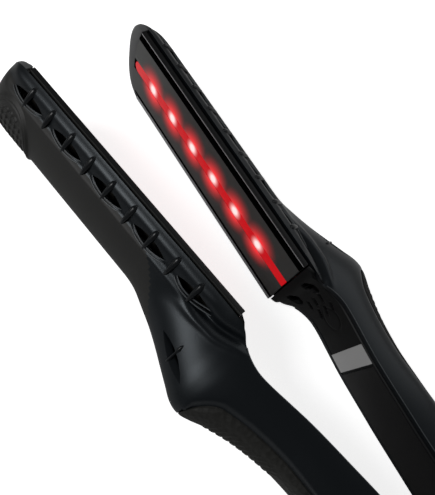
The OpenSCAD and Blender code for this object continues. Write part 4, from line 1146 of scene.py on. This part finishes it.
# Rows of the cover as (start, step), where they end, and the cover's thickness
COVER_ROWS = [(16, 2), (42, 0.5), (56, 2), (139, 0.3)]
COVER_END = 162.7
COVER_WALL = 1.1
# Screw recesses as (x, z), with their depth, the steepness of their walls and their radius
SCREWS = [(156.5, 7), (156.5, -7), (49, 0)]
SCREW_DEPTH = 3.2
SCREW_SLOPE = 9
SCREW_RADIUS = 2.7
# Ejector ring: its centre as (x, z), and (radius, depth, width) of its line
EJECTOR = (143.5, 1.6)
EJECTOR_LINE = (4.4, 0.18, 0.35)
# Louvres as (x, z), with their turn in degrees and their depth
LOUVRE_TURN = 32
LOUVRE_DEPTH = 0.8
LOUVRES = [(151.5, -4.0), (151.5, 0.6), (151.5, 5.2), (147.0, -3.0), (147.0, 1.6), (147.0, 6.2)]


class STRAIGHTENER_OT_covers(StraightenerPiece, bpy.types.Operator):
    """Makes the lower arm's inner cover with its screw recesses, louvres and ejector ring"""

    bl_idname = "straightener.covers"
    bl_label = "Inner cover"

    def execute(self, context):
        s = self.sizes
        # Columns lie closer together towards the edges
        sweep = 1.35
        across = np.sin(np.linspace(-sweep, sweep, 105))/math.sin(sweep)
        x, w = np.meshgrid(row_places(COVER_ROWS, COVER_END), across, indexing="ij")
        half = curve(COVER_HALF, x)
        z = w*half
        face = curve(COVER, x)
        y = face + 0.5*ramp(half - 0.7, half, np.abs(z))
        for screw_x, screw_z in SCREWS:
            far = np.hypot(x - screw_x, z - screw_z)
            y = np.maximum(y, face + np.minimum(SCREW_DEPTH, SCREW_SLOPE*(SCREW_RADIUS - far)))
        turn = math.radians(LOUVRE_TURN)
        for louvre_x, louvre_z in LOUVRES:
            a = (x - louvre_x)*math.cos(turn) + (z - louvre_z)*math.sin(turn)
            b = -(x - louvre_x)*math.sin(turn) + (z - louvre_z)*math.cos(turn)
            y = y + LOUVRE_DEPTH*(1 - ramp(1.9, 2.2, np.abs(a)))*(1 - ramp(0.35, 0.65, np.abs(b)))
        y = y + bump(np.hypot(x - EJECTOR[0], z - EJECTOR[1]), *EJECTOR_LINE)
        points = double_sheet(x, y, z, np.maximum(face + COVER_WALL, y + 0.3))
        faces = slab_faces(*x.shape)
        # Recesses and louvres take the near-black groove finish: painted shade inside them
        deep = ((y - face)[:-1, :-1] > 0.55) & (np.abs(z) < half - 1)[:-1, :-1]
        index = np.zeros(len(faces), int)
        index[:deep.size] = deep.ravel()
        new_piece("lower_cover_moulding", to_world(points, "lower", s), faces,
                  [MATERIALS["cover"], MATERIALS["gap"]], "lower_arm",
                  replaces=["lower_inner_cover"], index=index)
        return {"FINISHED"}


# Half the side of the floor in metres
FLOOR_HALF = 6.0
# Strength of the surroundings to all but the camera, and of the floor's own white to the camera
STUDIO_LEVEL = 0.15
FLOOR_LEVEL = 0.8
# Linear colours of the floor's paper and of the white that the camera sees
FLOOR_TONE = (0.86, 0.86, 0.86, 1)
WHITE = (1, 1, 1, 1)
# Square lamps as (name, place and width in metres, watts), and the spot that they are turned to
LAMPS = [("key", (0.57, 0.66, 0.74), 0.4, 5), ("fill", (0.2, -0.8, 0.6), 0.8, 2)]
LIT_SPOT = (0.2, 0, 0.02)
# The photograph's camera: its place in metres, where its right, its top and its back point, its focal length
# and the height of the photograph in pixels, its sensor's long side in millimetres, and its picture's shift
CAMERA_PLACE = (0.1566, 0.0649, 0.1603)
CAMERA_TURN = [(-0.593, -0.771, 0.235), (0.781, -0.477, 0.404), (-0.199, 0.423, 0.884)]
FOCAL_PIXELS = 433.1
PHOTO_HEIGHT = 495
SENSOR = 36
CAMERA_SHIFT = (-0.0062, -0.0098)


class STRAIGHTENER_OT_stage(StraightenerPiece, bpy.types.Operator):
    """Makes the floor, the lights, the surroundings and the camera"""

    bl_idname = "straightener.stage"
    bl_label = "Stage"

    def execute(self, context):
        scene = context.scene
        scene.view_settings.view_transform = "Standard"
        mesh = bpy.data.meshes.new("floor")
        corners = [(x*FLOOR_HALF, y*FLOOR_HALF, 0) for x, y in ((-1, -1), (1, -1), (1, 1), (-1, 1))]
        mesh.from_pydata(corners, [], [(0, 1, 2, 3)])
        floor = bpy.data.objects.new("floor", mesh)
        scene.collection.objects.link(floor)
        # Matt white paper: it gives its own white to the camera and keeps the object's shadow
        material, tree, shader, _ = new_material("pale_paper_floor")
        shader.inputs["Base Color"].default_value = FLOOR_TONE
        shader.inputs["Roughness"].default_value = 0.9
        shader.inputs["Specular IOR Level"].default_value = 0.1
        shader.inputs["Emission Color"].default_value = WHITE
        seen = add_node(tree, "ShaderNodeLightPath")
        white = add_node(tree, "ShaderNodeMapRange", {"Value": seen.outputs["Is Camera Ray"], "To Min": 0.0,
                                                      "To Max": FLOOR_LEVEL})
        tree.links.new(white.outputs["Result"], shader.inputs["Emission Strength"])
        mesh.materials.append(material)

        world = bpy.data.worlds.new("studio")
        scene.world = world
        world.use_nodes = True
        sky = world.node_tree
        sky.nodes.clear()
        out = add_node(sky, "ShaderNodeOutputWorld")
        path = add_node(sky, "ShaderNodeLightPath")
        level = add_node(sky, "ShaderNodeMapRange", {"Value": path.outputs["Is Camera Ray"],
                                                     "To Min": STUDIO_LEVEL, "To Max": 1.0})
        glow = add_node(sky, "ShaderNodeBackground", {"Color": WHITE, "Strength": level.outputs["Result"]})
        sky.links.new(glow.outputs["Background"], out.inputs["Surface"])

        for name, spot, width, watts in LAMPS:
            light = bpy.data.lights.new(name, "AREA")
            light.size = width
            light.energy = watts
            lamp = bpy.data.objects.new(name, light)
            lamp.location = spot
            lamp.rotation_mode = "QUATERNION"
            lamp.rotation_quaternion = (Vector(LIT_SPOT) - lamp.location).to_track_quat("-Z", "Y")
            scene.collection.objects.link(lamp)

        lens = bpy.data.cameras.new("photo_view")
        camera = bpy.data.objects.new("photo_view", lens)
        scene.collection.objects.link(camera)
        turn = Matrix(CAMERA_TURN).transposed().normalized()
        camera.matrix_world = Matrix.Translation(CAMERA_PLACE) @ turn.to_4x4()
        lens.lens = SENSOR*FOCAL_PIXELS/PHOTO_HEIGHT
        lens.shift_x, lens.shift_y = CAMERA_SHIFT
        lens.clip_start = 0.005
        scene.camera = camera
        return {"FINISHED"}


OPERATORS = [STRAIGHTENER_OT_finishes, STRAIGHTENER_OT_shells, STRAIGHTENER_OT_ribs, STRAIGHTENER_OT_emblem,
             STRAIGHTENER_OT_grips, STRAIGHTENER_OT_bezels, STRAIGHTENER_OT_plates, STRAIGHTENER_OT_window,
             STRAIGHTENER_OT_covers, STRAIGHTENER_OT_stage]


class STRAIGHTENER_PT_pieces(bpy.types.Panel):
    """Sidebar panel that lists the straightener's pieces"""

    bl_label = "Straightener"
    bl_idname = "STRAIGHTENER_PT_pieces"
    bl_space_type = "VIEW_3D"
    bl_region_type = "UI"
    bl_category = "Straightener"

    def draw(self, context):
        for piece in OPERATORS:
            self.layout.operator(piece.bl_idname)


CLASSES = [StraightenerSizes, StraightenerColours, *OPERATORS, STRAIGHTENER_PT_pieces]


def register():
    for each in CLASSES:
        bpy.utils.register_class(each)
    bpy.types.Scene.straightener_sizes = bpy.props.PointerProperty(type=StraightenerSizes)
    bpy.types.Scene.straightener_colours = bpy.props.PointerProperty(type=StraightenerColours)


def unregister():
    del bpy.types.Scene.straightener_colours
    del bpy.types.Scene.straightener_sizes
    for each in reversed(CLASSES):
        bpy.utils.unregister_class(each)


def main():
    register()
    for piece in OPERATORS:
        group, name = piece.bl_idname.split(".")
        getattr(getattr(bpy.ops, group), name)()


if __name__ == "__main__":
    main()
